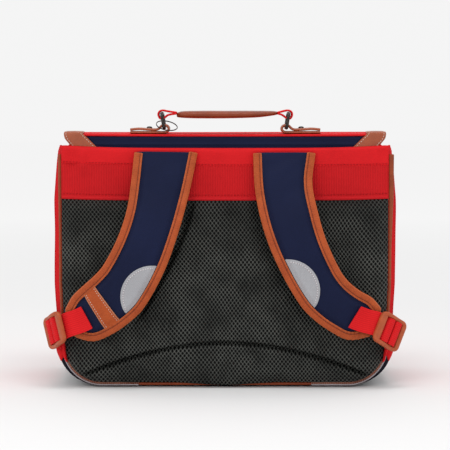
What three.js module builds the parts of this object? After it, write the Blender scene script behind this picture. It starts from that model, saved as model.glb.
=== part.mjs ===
// School satchel worn on the back, in millimetres. The worn side faces -Y, +X is to the
// right as that side is looked at, and +Z is up. The group is set down at the end with the
// middle of its footprint on the origin.
import * as THREE from 'three';

// Body: the seam line is where the side gusset meets the back and the front.
const bodyHalf = 184.5;
const bodyTaper = 3;
const taperRise = 70;
const bodyDepth = 150;
const bodyHeight = 269;
const topLift = 3.5;
const cornerRadius = 43.2;
const seamBottom = 3.9;
const sideBulge = 8.5;
const bulgeRise = 60;
const bulgeRoll = 0.075;
const bulgeFlat = 0.85;
const bulgeTurnStart = 1.2;
const bulgeTurnOver = 0.75;
const sideTopDip = 3;
const sideTopDrop = 0.5;
const seamEdge = 0.6;
const colourSplit = 42;
const colourDip = 11;
const colourRoll = 0.1;

// Walls, boards and clearances
const clothWall = 2.4;
const boardThick = 4;
const frontThick = 3.8;
const gap = 0.3;

// Piping cord along the seams
const pipingRadius = 1.8;
const pipingSink = 2;

// Webbing and cloth bands over the top of the back board
const facingHeight = 17;
const webbingHeight = 41;
const bandThick = 2;
const bandSetIn = 0.6;
const facingFollow = 0.4;
const bandFollow = 0.6;
const lipHeight = 1.6;

// Mesh pad on the back
const padThick = 11;
const padEdge = 2;
const padRoll = 14;
const padInset = 2.2;
const creaseWidth = 7;
const creaseDepth = 8;
const creaseTop = 36;
const creaseSpread = 47;
const creaseFall = 109;
const archHeight = 51;
const archFall = 35;
const archReach = 156;
const padSag = 3;
const padSagHalf = 62;
const creaseColumn = 7 / 22;
const archRow = 0.19;
const archLeast = 8;
const creaseCross = 0.85;
const archFadeStart = 4;
const archFadeOver = 16;

// Lid: rear strip, top, front flap and leather corners
const lidThick = 2.4;
const lidRise = 15.5;
const lidCrown = 1.2;
const lidEdgeLift = 0.8;
const lidHalf = 178.5;
const lidRearHalf = 167.5;
const lidRearDepth = 13;
const lidRearInset = 0.5;
const lidRearTaper = 11;
const lidRearShort = 1;
const lidBend = 14;
const flapBottom = 95;
const flapCorner = 36;
const flapStand = 1.2;
const cornerThick = 1.8;
const cornerReach = 24;
const cornerWide = 20;
const cornerLean = 12;
const cornerClear = 1.2;
const cornerOut = 1;
const cornerLift = 0.15;

// Closures on the front
const closureSpread = 92;
const closureWide = 28;
const closureTop = 150;
const closureThick = 2;
const claspWide = 36;
const claspHeight = 26;
const claspLip = 1.8;
const claspFloor = 5;
const claspFlapGap = 2;
const claspPocketShare = 0.7;
const closureTuck = 6;

// Shoulder straps
const strapWidth = 64;
const strapTopX = 65.6;
const strapEndInside = 10.9;
const strapTopBelow = 4.2;
const strapEndHeight = 74.4;
const strapReach = bodyHalf - strapEndInside - strapTopX;
const strapTopZ = bodyHeight - strapTopBelow;
const strapDrop = strapTopZ - strapEndHeight;
const strapStand = 33;
const strapThick = 10;
const strapShoulder = 4;
const strapLength = 240;
const endRise = 8;
const endFlat = 4;
const hemWidth = 9.6;
const hemHalf = 1.6;
const hemGap = 0.6;
const bindingThick = 1.2;
const reflectorRadius = 35;
const reflectorThick = 0.8;
const keeperHigh = 54;
const keeperLow = 37.2;
const keeperThick = 1.2;

// Buckles and their webbing
const buckleLength = 38;
const buckleWide = 36;
const buckleTaper = 2;
const buckleThick = 4;
const buckleRound = 6.5;
const innerBar = 8;
const outerBar = 5.5;
const railWide = 3.6;
const slotLength = 5;
const slotCorner = 1;
const webbingWide = 26;
const webbingThick = 1.6;
const webbingOnStrap = 24;
const webbingLift = 3.6;
const passClear = 0.2;
const anchorInset = 1;
const anchorRise = 2;
const anchorStand = 3.5;

// Handle on the lid
const handleY = 21;
const handleSpan = 68.5;
const handleMiddle = 0.3;
const gripHalf = 56;
const gripDeep = 25;
const gripHigh = 8.6;
const gripShift = 2.4;
const ringHigh = 17;
const ringDeep = 31;
const ringWire = 1.6;
const ringCorner = 3.4;
const ringLean = 2.6;
const tabWide = 22;
const tabTail = 38;
const tabLeather = 2.2;
const loopHoleWide = 3.9;
const loopHoleHigh = 2.9;
const loopWide = 20;
const tabTipInset = 6;
const tabRootOut = 3;
const rivetInset = 2;
const gripDrop = 1.2;
const rivetRadius = 3.4;
const rivetHigh = 1.6;
const keyRingRadius = 12;
const keyRingWire = 0.6;
const keyRingOut = 2.8;
const keyRingDeep = 1;
const keyRingUp = 3.4;
const keyRingTilt = 24;
const keyRingLean = 12;

const clothRed = new THREE.MeshStandardMaterial({ color: 0xc8202a, roughness: 0.75 });
const webbingRed = new THREE.MeshStandardMaterial({ color: 0xcf2028, roughness: 0.7 });
const clothNavy = new THREE.MeshStandardMaterial({ color: 0x1c1f3c, roughness: 0.8 });
const meshGrey = new THREE.MeshStandardMaterial({ color: 0x2b2d2a, roughness: 0.95 });
const leatherTan = new THREE.MeshStandardMaterial({ color: 0xa8522a, roughness: 0.55 });
const leatherDark = new THREE.MeshStandardMaterial({ color: 0x7a3318, roughness: 0.5 });
const plasticTan = new THREE.MeshStandardMaterial({ color: 0xb4643c, roughness: 0.4 });
const reflectiveGrey = new THREE.MeshStandardMaterial({ color: 0xb4b4ba, roughness: 0.35 });
const gunmetal = new THREE.MeshStandardMaterial({ color: 0x3c3a38, roughness: 0.35, metalness: 1 });

const part = new THREE.Group();
const backY = -bodyDepth / 2;
const frontY = bodyDepth / 2;
const arcStart = seamBottom + cornerRadius;
const arcMiddle = bodyHalf - bodyTaper - cornerRadius;

const lerp = THREE.MathUtils.lerp;
const clamp = THREE.MathUtils.clamp;
const smooth = (x) => x * x * (3 - 2 * x);

// Evenly spaced shares from 0 to 1, both ends included
function shares(count) {
  return Array.from({ length: count + 1 }, (_, i) => i / count);
}

// A closed body from points and triangles: alike points are one, all faces wound alike, facing out
function closedBody(points, triangles) {
  const keys = new Map();
  const kept = [];
  const indexOf = points.map((p) => {
    const key = [p.x, p.y, p.z].map((v) => Math.round(v * 500)).join();
    if (!keys.has(key)) {
      keys.set(key, kept.length);
      kept.push(p);
    }
    return keys.get(key);
  });
  const faces = triangles
    .map((t) => t.map((i) => indexOf[i]))
    .filter(([a, b, c]) => a !== b && b !== c && c !== a);
  windAlike(faces);
  const turned = volumeOf(kept, faces) < 0;
  const flat = faces.flatMap(([a, b, c]) => (turned ? [a, c, b] : [a, b, c]));
  const geometry = new THREE.BufferGeometry();
  const flatPoints = kept.flatMap((p) => [p.x, p.y, p.z]);
  geometry.setAttribute('position', new THREE.Float32BufferAttribute(flatPoints, 3));
  geometry.setIndex(flat);
  geometry.computeVertexNormals();
  return geometry;
}

function windAlike(faces) {
  const edges = new Map();
  faces.forEach((face, f) => {
    for (let k = 0; k < 3; k += 1) {
      const pair = [face[k], face[(k + 1) % 3]].sort((a, b) => a - b).join();
      if (!edges.has(pair)) edges.set(pair, []);
      edges.get(pair).push(f);
    }
  });
  const seen = new Set();
  const runs = (face, a, b) => [0, 1, 2].some((k) => face[k] === a && face[(k + 1) % 3] === b);
  for (let first = 0; first < faces.length; first += 1) {
    if (seen.has(first)) continue;
    seen.add(first);
    const queue = [first];
    while (queue.length) {
      const face = faces[queue.pop()];
      for (let k = 0; k < 3; k += 1) {
        const a = face[k];
        const b = face[(k + 1) % 3];
        for (const other of edges.get([a, b].sort((m, n) => m - n).join())) {
          if (seen.has(other)) continue;
          if (runs(faces[other], a, b)) faces[other].reverse();
          seen.add(other);
          queue.push(other);
        }
      }
    }
  }
}

function volumeOf(points, faces) {
  return faces.reduce((sum, [a, b, c]) => {
    const cross = points[b].clone().cross(points[c]);
    return sum + points[a].dot(cross);
  }, 0);
}

// A body from rings of points that match one to one; the two end rings are filled in
function loft(rings, flatRing, joined = false) {
  const count = rings[0].length;
  const points = rings.flat();
  const triangles = [];
  const last = joined ? rings.length : rings.length - 1;
  for (let r = 0; r < last; r += 1) {
    const low = r * count;
    const high = ((r + 1) % rings.length) * count;
    for (let k = 0; k < count; k += 1) {
      const next = (k + 1) % count;
      triangles.push([low + k, low + next, high + next], [low + k, high + next, high + k]);
    }
  }
  if (!joined) {
    const fill = THREE.ShapeUtils.triangulateShape(flatRing, []);
    const end = (rings.length - 1) * count;
    fill.forEach(([a, b, c]) => triangles.push([a, b, c], [end + a, end + b, end + c]));
  }
  return closedBody(points, triangles);
}

// A wall between two grids of points, outer[row][column] and inner[row][column]
function wall(outer, inner) {
  const rows = outer.length;
  const columns = outer[0].length;
  const points = [...outer.flat(), ...inner.flat()];
  const at = (layer, r, c) => layer * rows * columns + r * columns + c;
  const triangles = [];
  const quad = (a, b, c, d) => triangles.push([a, b, c], [a, c, d]);
  for (let r = 0; r < rows - 1; r += 1) {
    for (let c = 0; c < columns - 1; c += 1) {
      for (const layer of [0, 1]) {
        quad(at(layer, r, c), at(layer, r, c + 1), at(layer, r + 1, c + 1), at(layer, r + 1, c));
      }
    }
  }
  for (let r = 0; r < rows - 1; r += 1) {
    for (const c of [0, columns - 1]) quad(at(0, r, c), at(0, r + 1, c), at(1, r + 1, c), at(1, r, c));
  }
  for (let c = 0; c < columns - 1; c += 1) {
    for (const r of [0, rows - 1]) quad(at(0, r, c), at(0, r, c + 1), at(1, r, c + 1), at(1, r, c));
  }
  return closedBody(points, triangles);
}

// An outline in x and z, made as thick as given towards +Y from the plane at y
function plate(outline, y, thick, holes = []) {
  const shape = new THREE.Shape(outline);
  shape.holes = holes.map((hole) => new THREE.Path(hole));
  const slab = new THREE.ExtrudeGeometry(shape, { depth: thick, bevelEnabled: false });
  slab.rotateX(Math.PI / 2).translate(0, y + thick, 0);
  const corners = slab.getAttribute('position');
  const cornerAt = (_, i) => new THREE.Vector3().fromBufferAttribute(corners, i);
  const points = Array.from({ length: corners.count }, cornerAt);
  const triangles = Array.from({ length: points.length / 3 }, (_, i) => [3 * i, 3 * i + 1, 3 * i + 2]);
  return closedBody(points, triangles);
}

function add(name, geometry, material, parent = part) {
  const mesh = new THREE.Mesh(geometry, material);
  mesh.name = name;
  parent.add(mesh);
  return mesh;
}

// Values between the rows of a table, on a smooth curve through them
function rowAt(table, along) {
  const last = table.length - 1;
  let low = 0;
  while (low < last - 1 && table[low + 1].along <= along) low += 1;
  const from = table[low];
  const to = table[low + 1];
  const span = to.along - from.along;
  const share = (along - from.along) / span;
  const slope = (index, key) => {
    const before = table[Math.max(index - 1, 0)];
    const after = table[Math.min(index + 1, last)];
    return (after[key] - before[key]) / (after.along - before.along);
  };
  const result = {};
  for (const key of Object.keys(from)) {
    const square = share * share;
    const cube = square * share;
    result[key] = (2 * cube - 3 * square + 1) * from[key]
      + (cube - 2 * square + share) * span * slope(low, key)
      + (3 * square - 2 * cube) * to[key]
      + (cube - square) * span * slope(low + 1, key);
  }
  return result;
}

// The seam line of the right half: stretch 0 to 1 is the side, 1 to 2 the corner, 2 to 3 the bottom
const sideTop = bodyHeight + topLift - sideTopDrop;

function seamHalfAt(z) {
  return bodyHalf - bodyTaper * (1 - clamp((z - arcStart) / taperRise, 0, 1));
}

function seamPoint(stretch) {
  if (stretch <= 1) {
    const z = lerp(sideTop, arcStart, stretch);
    return { x: seamHalfAt(z), z, nx: 1, nz: 0 };
  }
  if (stretch <= 2) {
    const turn = ((stretch - 1) * Math.PI) / 2;
    const nx = Math.cos(turn);
    const nz = -Math.sin(turn);
    return { x: arcMiddle + cornerRadius * nx, z: arcStart + cornerRadius * nz, nx, nz };
  }
  return { x: arcMiddle * (3 - stretch), z: seamBottom, nx: 0, nz: -1 };
}

const topEdge = (x) => bodyHeight + topLift * Math.pow(Math.abs(x) / bodyHalf, 4);

// Outline of a board that fills the seam line, as far inside it as given
const sideStretches = [0, 0.35, 0.68, 1];
const arcStretches = shares(8).slice(1).map((s) => 1 + s);

function boardOutline(inset, low = -Infinity) {
  const right = [...sideStretches, ...arcStretches].map(seamPoint).map((p) => new THREE.Vector2(
    p.x - inset * p.nx,
    p.z - inset * p.nz,
  ));
  right[0].y = topEdge(right[0].x);
  const kept = right.filter((p) => p.y > low);
  if (kept.length < right.length) kept.push(new THREE.Vector2(seamHalfAt(low) - inset, low));
  const left = kept.map((p) => new THREE.Vector2(-p.x, p.y)).reverse();
  const corner = kept[0].x;
  const top = shares(12).slice(1, -1).map((s) => lerp(-corner, corner, s));
  return [...kept, ...left, ...top.map((x) => new THREE.Vector2(x, topEdge(x)))];
}

// Body shell
const boardInset = pipingRadius + gap;
add('back_panel', plate(boardOutline(boardInset), backY, boardThick), clothRed);
add('front_panel', plate(boardOutline(boardInset), frontY - frontThick, frontThick), clothRed);

// The gusset between the boards, its edges tucked behind the piping
const gussetBack = backY + boardThick + gap;
const gussetFront = frontY - frontThick - gap;
const gussetShares = [0, 0.03, 0.08, 0.27, 0.5, 0.73, 0.92, 0.97, 1];

// How far the gusset swells out of the seam line: quickly next to the seams, less towards the floor
function gussetBulge(stretch, across) {
  const rise = clamp((sideTop - seamPoint(stretch).z) / bulgeRise, 0, 1);
  const roll = smooth(clamp(Math.min(across, 1 - across) / bulgeRoll, 0, 1));
  const belly = Math.sin(Math.PI * clamp(across, 0, 1));
  const full = bulgeFlat * roll + (1 - bulgeFlat) * belly;
  const side = seamEdge + (sideBulge - seamEdge) * Math.sqrt(rise) * full;
  const floor = seamEdge + (seamBottom - seamEdge) * roll;
  return lerp(side, floor, smooth(clamp((stretch - bulgeTurnStart) / bulgeTurnOver, 0, 1)));
}

function gussetPoint(side, stretch, across, depthIn) {
  const seam = seamPoint(stretch);
  const out = gussetBulge(stretch, across) - depthIn;
  const dip = stretch === 0 ? sideTopDip * Math.sin(Math.PI * across) : 0;
  return new THREE.Vector3(side * (seam.x + seam.nx * out), lerp(gussetBack, gussetFront, across),
    seam.z + seam.nz * out - dip);
}

// Where red turns to navy, as a stretch: it drops quickly next to the seams
function splitStretch(across) {
  const z = colourSplit - colourDip * smooth(clamp(Math.min(across, 1 - across) / colourRoll, 0, 1));
  return 1 + Math.asin((arcStart - z) / cornerRadius) / (Math.PI / 2);
}

const splitGap = gap / (cornerRadius * Math.PI / 2);
const sideRows = [0, 0.03, 0.08, 0.18, 0.4, 0.7, 1];
for (const [name, side] of [['side_panel_left', -1], ['side_panel_right', 1]]) {
  const grid = (depthIn) => [
    ...sideRows.map((s) => gussetShares.map((across) => gussetPoint(side, s, across, depthIn))),
    ...[0.5, 1].map((s) => gussetShares.map((across) => gussetPoint(
      side,
      lerp(1, splitStretch(across), s),
      across,
      depthIn,
    ))),
  ];
  add(name, wall(grid(0), grid(clothWall)), clothRed);
}

const baseCorner = [0, 0.14, 0.28, 0.42, 0.56, 0.7, 0.85, 1];
const baseGrid = (depthIn) => {
  const half = (side) => [
    ...baseCorner.map((s) => gussetShares.map((across) => gussetPoint(
      side,
      lerp(splitStretch(across) + splitGap, 2, s),
      across,
      depthIn,
    ))),
    gussetShares.map((across) => gussetPoint(side, 2.5, across, depthIn)),
  ];
  const middle = [gussetShares.map((across) => gussetPoint(1, 3, across, depthIn))];
  return [...half(-1), ...middle, ...half(1).reverse()];
};
add('base_panel', wall(baseGrid(0), baseGrid(clothWall)), clothNavy);

// Piping: a round cord on the seam line, wider towards the top where its tape turns out
const pipingWidths = [
  { along: 0, left: 0.75, right: 1.35 },
  { along: 0.25, left: 0.7, right: 1.3 },
  { along: 0.5, left: 0.55, right: 0.75 },
  { along: 1, left: 0.55, right: 0.6 },
];

function piping(y) {
  const stretches = [0.045, 0.15, 0.3, 0.5, 0.75, 1, ...arcStretches, 2.5];
  const ring = (side) => (stretch) => {
    const seam = seamPoint(stretch);
    const row = rowAt(pipingWidths, clamp(stretch, 0, 1));
    const spread = pipingRadius * (1 + Math.max(0, (side < 0 ? row.left : row.right) - 0.6));
    return shares(7).slice(0, 7).map((s) => {
      const turn = s * 2 * Math.PI;
      const out = spread * Math.cos(turn) + spread - pipingRadius;
      return new THREE.Vector3(side * (seam.x + seam.nx * out), y + pipingRadius * Math.sin(turn),
        seam.z + seam.nz * out);
    });
  };
  const left = stretches.map(ring(-1));
  const right = stretches.map(ring(1)).reverse();
  const circle = shares(7).slice(0, 7).map((s) => new THREE.Vector2(
    Math.cos(s * 2 * Math.PI),
    Math.sin(s * 2 * Math.PI),
  ));
  return loft([...left, ...right], circle);
}
add('piping_back', piping(backY + pipingSink), leatherTan);
add('piping_front', piping(frontY - pipingSink), leatherTan);

// Cloth facing with the lip above it, and the ribbed webbing band below it
const bandInset = boardInset + bandSetIn;
const facingLow = bodyHeight - facingHeight;
const bandLow = facingLow - webbingHeight;

function bandStrip(low, high, y, thick) {
  const across = shares(16).map((s) => lerp(-1, 1, s));
  const half = (z) => seamHalfAt(z) - bandInset;
  const upper = across.map((s) => new THREE.Vector2(s * half(bodyHeight), high(s * half(bodyHeight))));
  const lower = across.map((s) => new THREE.Vector2(s * half(bodyHeight), low(s * half(bodyHeight))));
  return plate([...lower, ...upper.reverse()], y, thick);
}
const facingEdge = (x) => facingLow + facingFollow * (topEdge(x) - bodyHeight);
const bandEdge = (x) => bandLow + bandFollow * (topEdge(x) - bodyHeight);
const lipEdge = (x) => topEdge(x) - lipHeight;
const bandFace = backY - gap - bandThick;
add('top_facing', bandStrip(facingEdge, (x) => lipEdge(x) - gap, bandFace, bandThick), clothRed);
add('top_lip', bandStrip(lipEdge, topEdge, bandFace, bandThick), clothRed);
add('back_webbing', bandStrip(bandEdge, (x) => facingEdge(x) - gap, bandFace, bandThick), webbingRed);

// Mesh pad: a crowned relief with two creases that spread downwards and an arch near the bottom
const padColumns = 44;
const padRowShares = [0, 0.01, 0.03, 0.055, 0.085, 0.12, 0.155, 0.19, 0.225, 0.26, 0.3, 0.345, 0.39, 0.435,
  0.48, 0.525, 0.57, 0.62, 0.67, 0.72, 0.77, 0.82, 0.87, 0.92, 0.96, 0.985, 1];
const padTop = (x) => bandEdge(x) - gap;
const padLowest = seamBottom + padInset;

function padHalfAt(z) {
  if (z >= arcStart) return seamHalfAt(z) - padInset;
  const radius = cornerRadius - padInset;
  const drop = clamp(arcStart - z, 0, radius);
  return arcMiddle + Math.sqrt(radius * radius - drop * drop);
}

// Where the side creases and the arch run
const creaseDrop = (z) => clamp((bandLow - z) / creaseFall, 0, 1.4);
const creaseAt = (z) => creaseTop + creaseSpread * Math.pow(creaseDrop(z), 1.35);
const archAt = (x) => archHeight - archFall * Math.pow(Math.abs(x) / archReach, 1.9);
const groove = (distance) => Math.exp(-Math.pow(distance / creaseWidth, 2));

function padHeight(x, z, high) {
  const inside = Math.min(padHalfAt(z) - Math.abs(x), z - padLowest, high - z);
  const roll = Math.sqrt(smooth(clamp(inside / padRoll, 0, 1)));
  const sideCrease = z > archAt(x) ? groove((Math.abs(x) - creaseAt(z)) * creaseCross) : 0;
  const archFade = smooth(clamp((inside + archFadeStart) / archFadeOver, 0, 1));
  const cut = Math.max(sideCrease, groove(z - archAt(x)) * archFade);
  return padEdge + (padThick - padEdge) * roll - creaseDepth * roll * cut;
}

// A value that bends at a knot: shares below the bend's share run up to the knot, the rest beyond it
function bent(share, bend, low, knot, high) {
  return share < bend ? lerp(low, knot, share / bend) : lerp(knot, high, (share - bend) / (1 - bend));
}

// Columns follow the side creases and rows follow the arch, so that the creases run smooth
const padGrid = padRowShares.map((rise) => shares(padColumns).map((s) => {
  const out = Math.abs(2 * s - 1);
  let x = 0;
  let z = lerp(padLowest, bandLow, rise);
  for (let pass = 0; pass < 6; pass += 1) {
    x = Math.sign(2 * s - 1) * bent(out, creaseColumn, 0, creaseAt(z), padHalfAt(z));
    z = bent(rise, archRow, padLowest, Math.max(archAt(x), padLowest + archLeast), padTop(x));
  }
  const sag = padSag * (1 - rise) * smooth(clamp(1 - Math.abs(x) / padSagHalf, 0, 1));
  return new THREE.Vector3(x, backY - gap - padHeight(x, z, padTop(x)), z - (rise < 0.05 ? sag : 0));
}));

function reliefBody(grid, flatY) {
  const rows = grid.length;
  const columns = grid[0].length;
  const front = grid.flat();
  const triangles = [];
  for (let r = 0; r < rows - 1; r += 1) {
    for (let c = 0; c < columns - 1; c += 1) {
      const a = r * columns + c;
      triangles.push([a, a + 1, a + columns + 1], [a, a + columns + 1, a + columns]);
    }
  }
  const rim = [
    ...shares(columns - 1).map((_, c) => c),
    ...shares(rows - 2).map((_, r) => (r + 2) * columns - 1),
    ...shares(columns - 2).map((_, c) => rows * columns - 2 - c),
    ...shares(rows - 3).map((_, r) => (rows - 2 - r) * columns),
  ];
  const points = [...front, ...rim.map((i) => new THREE.Vector3(front[i].x, flatY, front[i].z))];
  const base = front.length;
  rim.forEach((i, k) => {
    const next = (k + 1) % rim.length;
    triangles.push([i, rim[next], base + next], [i, base + next, base + k]);
  });
  const flatRim = rim.map((i) => new THREE.Vector2(front[i].x, front[i].z));
  THREE.ShapeUtils.triangulateShape(flatRim, []).forEach((t) => triangles.push(t.map((i) => base + i)));
  return closedBody(points, triangles);
}
add('mesh_pad', reliefBody(padGrid, backY - gap), meshGrey);

// Lid: a navy strip rises from inside the back, then one red sheet runs over the top and down the front
const stripY = backY + boardThick + gap + cornerThick + gap + lidRearInset;
const lidUnder = bodyHeight + lidRise - lidThick;
const stripSlope = (lidHalf - lidRearHalf) / lidRearTaper;
const stripHalf = (z) => lidHalf - lidRearShort - (lidUnder - z) * stripSlope;
const stripLow = bodyHeight - lidRearDepth;
const stripTop = lidUnder - gap;
const stripOutline = [
  new THREE.Vector2(-stripHalf(bodyHeight), stripLow),
  new THREE.Vector2(stripHalf(bodyHeight), stripLow),
  new THREE.Vector2(stripHalf(bodyHeight), bodyHeight),
  new THREE.Vector2(stripHalf(stripTop), stripTop),
  new THREE.Vector2(-stripHalf(stripTop), stripTop),
  new THREE.Vector2(-stripHalf(bodyHeight), bodyHeight),
];
add('lid_rear', plate(stripOutline, stripY, lidThick), clothNavy);

const lidRearY = stripY - lidRearInset;
const flapY = frontY + flapStand + lidThick;
const lidTopZ = (x, y) => {
  const share = clamp((y - lidRearY) / (flapY - lidRearY), 0, 1);
  return lidUnder + lidThick + lidCrown * Math.sin(Math.PI * share)
    + lidEdgeLift * Math.pow(Math.abs(x) / lidHalf, 2) * (1 - share);
};

// Rows of the lid from its rear edge to the flap's lower edge: over the top, round the bend, then down.
// turn is the share of the bend that is done, and wide is the share of the lid's width.
const lidTopShares = [0, 0.04, 0.12, 0.25, 0.45, 0.65, 0.85, 1];
const lidBendShares = [0.25, 0.5, 0.75, 1];
const flapShares = [0.3, 0.6, 0.79, 0.88, 0.95, 1];
const lidRows = [
  ...lidTopShares.map((s) => ({ y: lerp(lidRearY, flapY - lidBend, s), turn: 0, wide: 1 })),
  ...lidBendShares.map((s) => {
    const ahead = lidBend * (1 - Math.sin((s * Math.PI) / 2));
    return { y: flapY - ahead, turn: s, wide: 1 };
  }),
  ...flapShares.map((s) => {
    const z = lerp(lidUnder + lidThick - lidBend, flapBottom, s);
    const inCorner = clamp((flapBottom + flapCorner - z) / flapCorner, 0, 1);
    const cut = flapCorner * (1 - Math.sqrt(1 - inCorner * inCorner));
    return { y: flapY, turn: 1, flap: z, wide: 1 - cut / lidHalf };
  }),
];

function lidPoint(row, x, depthIn) {
  const angle = (row.turn * Math.PI) / 2;
  const bendDrop = lidBend * (1 - Math.cos(angle));
  const z = row.flap === undefined ? lidTopZ(x, row.y) - bendDrop : row.flap;
  return new THREE.Vector3(x * row.wide, row.y - depthIn * Math.sin(angle), z - depthIn * Math.cos(angle));
}
const lidColumns = shares(10).map((s) => lerp(-lidHalf, lidHalf, s));
const lidGrid = (depthIn) => lidRows.map((row) => lidColumns.map((x) => lidPoint(row, x, depthIn)));
add('lid', wall(lidGrid(0), lidGrid(lidThick)), clothRed);

// Leather corners over the lid's rear corners: the inner and outer edges lean inwards going down
const cornerFace = lidRearY - gap;
const cornerLow = bodyHeight + topLift + cornerClear;
for (const [name, side] of [['lid_corner_left', -1], ['lid_corner_right', 1]]) {
  const fold = lidUnder + lidThick + lidEdgeLift + gap;
  const rows = [
    { y: cornerFace, z: cornerLow, turn: 0, lean: 1 },
    { y: cornerFace, z: lerp(cornerLow, fold, 0.5), turn: 0, lean: 0.5 },
    { y: cornerFace, z: fold - 0.5, turn: 0, lean: 0.08 },
    { y: cornerFace + 0.1, z: fold, turn: 0.5, lean: 0 },
    { y: cornerFace + 2, z: fold + 0.3, turn: 1, lean: 0 },
    { y: cornerFace + cornerReach / 2, z: null, turn: 1, lean: 0 },
    { y: cornerFace + cornerReach, z: null, turn: 1, lean: 0 },
  ];
  const grid = (depthOut) => rows.map((row) => shares(3).map((s) => {
    const x = lidHalf + cornerOut - cornerWide * s - cornerLean * row.lean;
    const angle = (row.turn * Math.PI) / 2;
    const z = row.z === null ? lidTopZ(x, row.y) + gap + cornerLift : row.z;
    return new THREE.Vector3(side * x, row.y - depthOut * Math.cos(angle), z + depthOut * Math.sin(angle));
  }));
  add(name, wall(grid(0), grid(cornerThick)), leatherTan);
}

// Closures: a leather tab on the flap whose tip sits in a plain clasp on the front panel
const claspTop = flapBottom - gap - claspFlapGap;
const claspLow = claspTop - claspHeight;
for (const [label, side] of [['left', -1], ['right', 1]]) {
  const tab = new THREE.Shape();
  const half = closureWide / 2;
  tab.moveTo(-half, claspLow + closureTuck);
  tab.lineTo(half, claspLow + closureTuck);
  tab.lineTo(half, closureTop - half);
  tab.absarc(0, closureTop - half, half, 0, Math.PI, false);
  tab.closePath();
  const outline = tab.getPoints(5).slice(0, -1);
  add(`closure_tab_${label}`, plate(outline, flapY + gap, closureThick), leatherTan)
    .position.set(side * closureSpread, 0, 0);
  const root = frontY + gap;
  const pocket = flapY + gap + closureThick + gap;
  const section = [
    [root, claspLow],
    [pocket + claspLip, claspLow],
    [pocket + claspLip, claspLow + claspHeight * claspPocketShare],
    [pocket, claspLow + claspHeight * claspPocketShare],
    [pocket, claspLow + claspFloor],
    [flapY, claspLow + claspFloor],
    [flapY, claspTop],
    [root, claspTop],
  ].map(([y, z]) => new THREE.Vector2(y, z));
  add(`clasp_${label}`, claspGeometry(section), gunmetal).position.set(side * closureSpread, 0, 0);
}

// A section in y and z made as wide as a clasp along x
function claspGeometry(section) {
  const ring = (x) => section.map((p) => new THREE.Vector3(x, p.x, p.y));
  return loft([ring(-claspWide / 2), ring(claspWide / 2)], section);
}

// Shoulder straps. Each row: share along, sideways and down of the reach and drop, width, turn of the
// cross line in degrees, stand-off from the back and thickness.
const strapTables = {
  left: [
    { along: 0, out: 0, down: 0, wide: 1.1, turn: 1, stand: 0.18, thick: 0.45 },
    { along: 0.167, out: 0.058, down: 0.2, wide: 1.03, turn: 12, stand: 0.45, thick: 1 },
    { along: 0.333, out: 0.135, down: 0.4, wide: 0.975, turn: 24, stand: 0.82, thick: 1 },
    { along: 0.5, out: 0.254, down: 0.592, wide: 0.99, turn: 35, stand: 1, thick: 1 },
    { along: 0.667, out: 0.432, down: 0.777, wide: 1.02, turn: 47, stand: 0.96, thick: 1 },
    { along: 0.75, out: 0.56, down: 0.853, wide: 1.01, turn: 52, stand: 0.88, thick: 1 },
    { along: 0.833, out: 0.706, down: 0.918, wide: 0.98, turn: 58, stand: 0.73, thick: 0.95 },
    { along: 0.917, out: 0.858, down: 0.972, wide: 0.865, turn: 64, stand: 0.58, thick: 0.75 },
    { along: 1, out: 1, down: 1, wide: 0.5, turn: 71, stand: 0.46, thick: 0.5 },
  ],
  right: [
    { along: 0, out: 0.004, down: 0.004, wide: 1.09, turn: 0, stand: 0.18, thick: 0.45 },
    { along: 0.167, out: -0.002, down: 0.207, wide: 1.006, turn: 10.5, stand: 0.45, thick: 1 },
    { along: 0.333, out: 0.071, down: 0.406, wide: 0.99, turn: 21, stand: 0.82, thick: 1 },
    { along: 0.5, out: 0.192, down: 0.595, wide: 0.95, turn: 32, stand: 1, thick: 1 },
    { along: 0.667, out: 0.364, down: 0.779, wide: 0.925, turn: 43.5, stand: 0.96, thick: 1 },
    { along: 0.75, out: 0.482, down: 0.858, wide: 0.895, turn: 49.5, stand: 0.88, thick: 1 },
    { along: 0.833, out: 0.63, down: 0.923, wide: 0.875, turn: 55.5, stand: 0.73, thick: 0.95 },
    { along: 0.917, out: 0.79, down: 0.971, wide: 0.84, turn: 61, stand: 0.58, thick: 0.75 },
    { along: 1, out: 0.955, down: 0.995, wide: 0.52, turn: 68, stand: 0.46, thick: 0.5 },
  ],
};

function strapAt(label, along) {
  const side = label === 'left' ? -1 : 1;
  const row = rowAt(strapTables[label], along);
  const turn = THREE.MathUtils.degToRad(row.turn);
  const padded = smooth(clamp(((1 - along) * strapLength - hemWidth - endFlat) / endRise, 0, 1));
  const x = side * (strapTopX + strapReach * row.out);
  return {
    label,
    middle: new THREE.Vector3(x, 0, strapTopZ - strapDrop * row.down),
    outward: new THREE.Vector3(side * Math.cos(turn), 0, Math.sin(turn)),
    half: (strapWidth * row.wide) / 2,
    thick: lerp(2 * hemHalf, strapThick * row.thick, padded),
  };
}

// How far a place of the strap stands off the back: that of the nearest point of its middle line
const middleLines = {};
for (const label of ['left', 'right']) {
  middleLines[label] = shares(60).map((along) => ({ along, place: strapAt(label, along).middle }));
}

function strapStandAt(label, point) {
  const line = middleLines[label];
  let best = { distance: Infinity, along: 0 };
  for (let i = 0; i < line.length - 1; i += 1) {
    const segment = new THREE.Line3(line[i].place, line[i + 1].place);
    const level = new THREE.Vector3(point.x, 0, point.z);
    const share = segment.closestPointToPointParameter(level, true);
    const distance = segment.at(share, new THREE.Vector3()).distanceTo(level);
    if (distance < best.distance) best = { distance, along: lerp(line[i].along, line[i + 1].along, share) };
  }
  return strapStand * rowAt(strapTables[label], best.along).stand;
}

// A point of the strap: across is measured from its middle line outwards, proud towards the wearer
function strapPoint(frame, across, proud) {
  const point = frame.middle.clone().addScaledVector(frame.outward, across);
  point.y = backY - strapStandAt(frame.label, point) - proud;
  return point;
}

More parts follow.
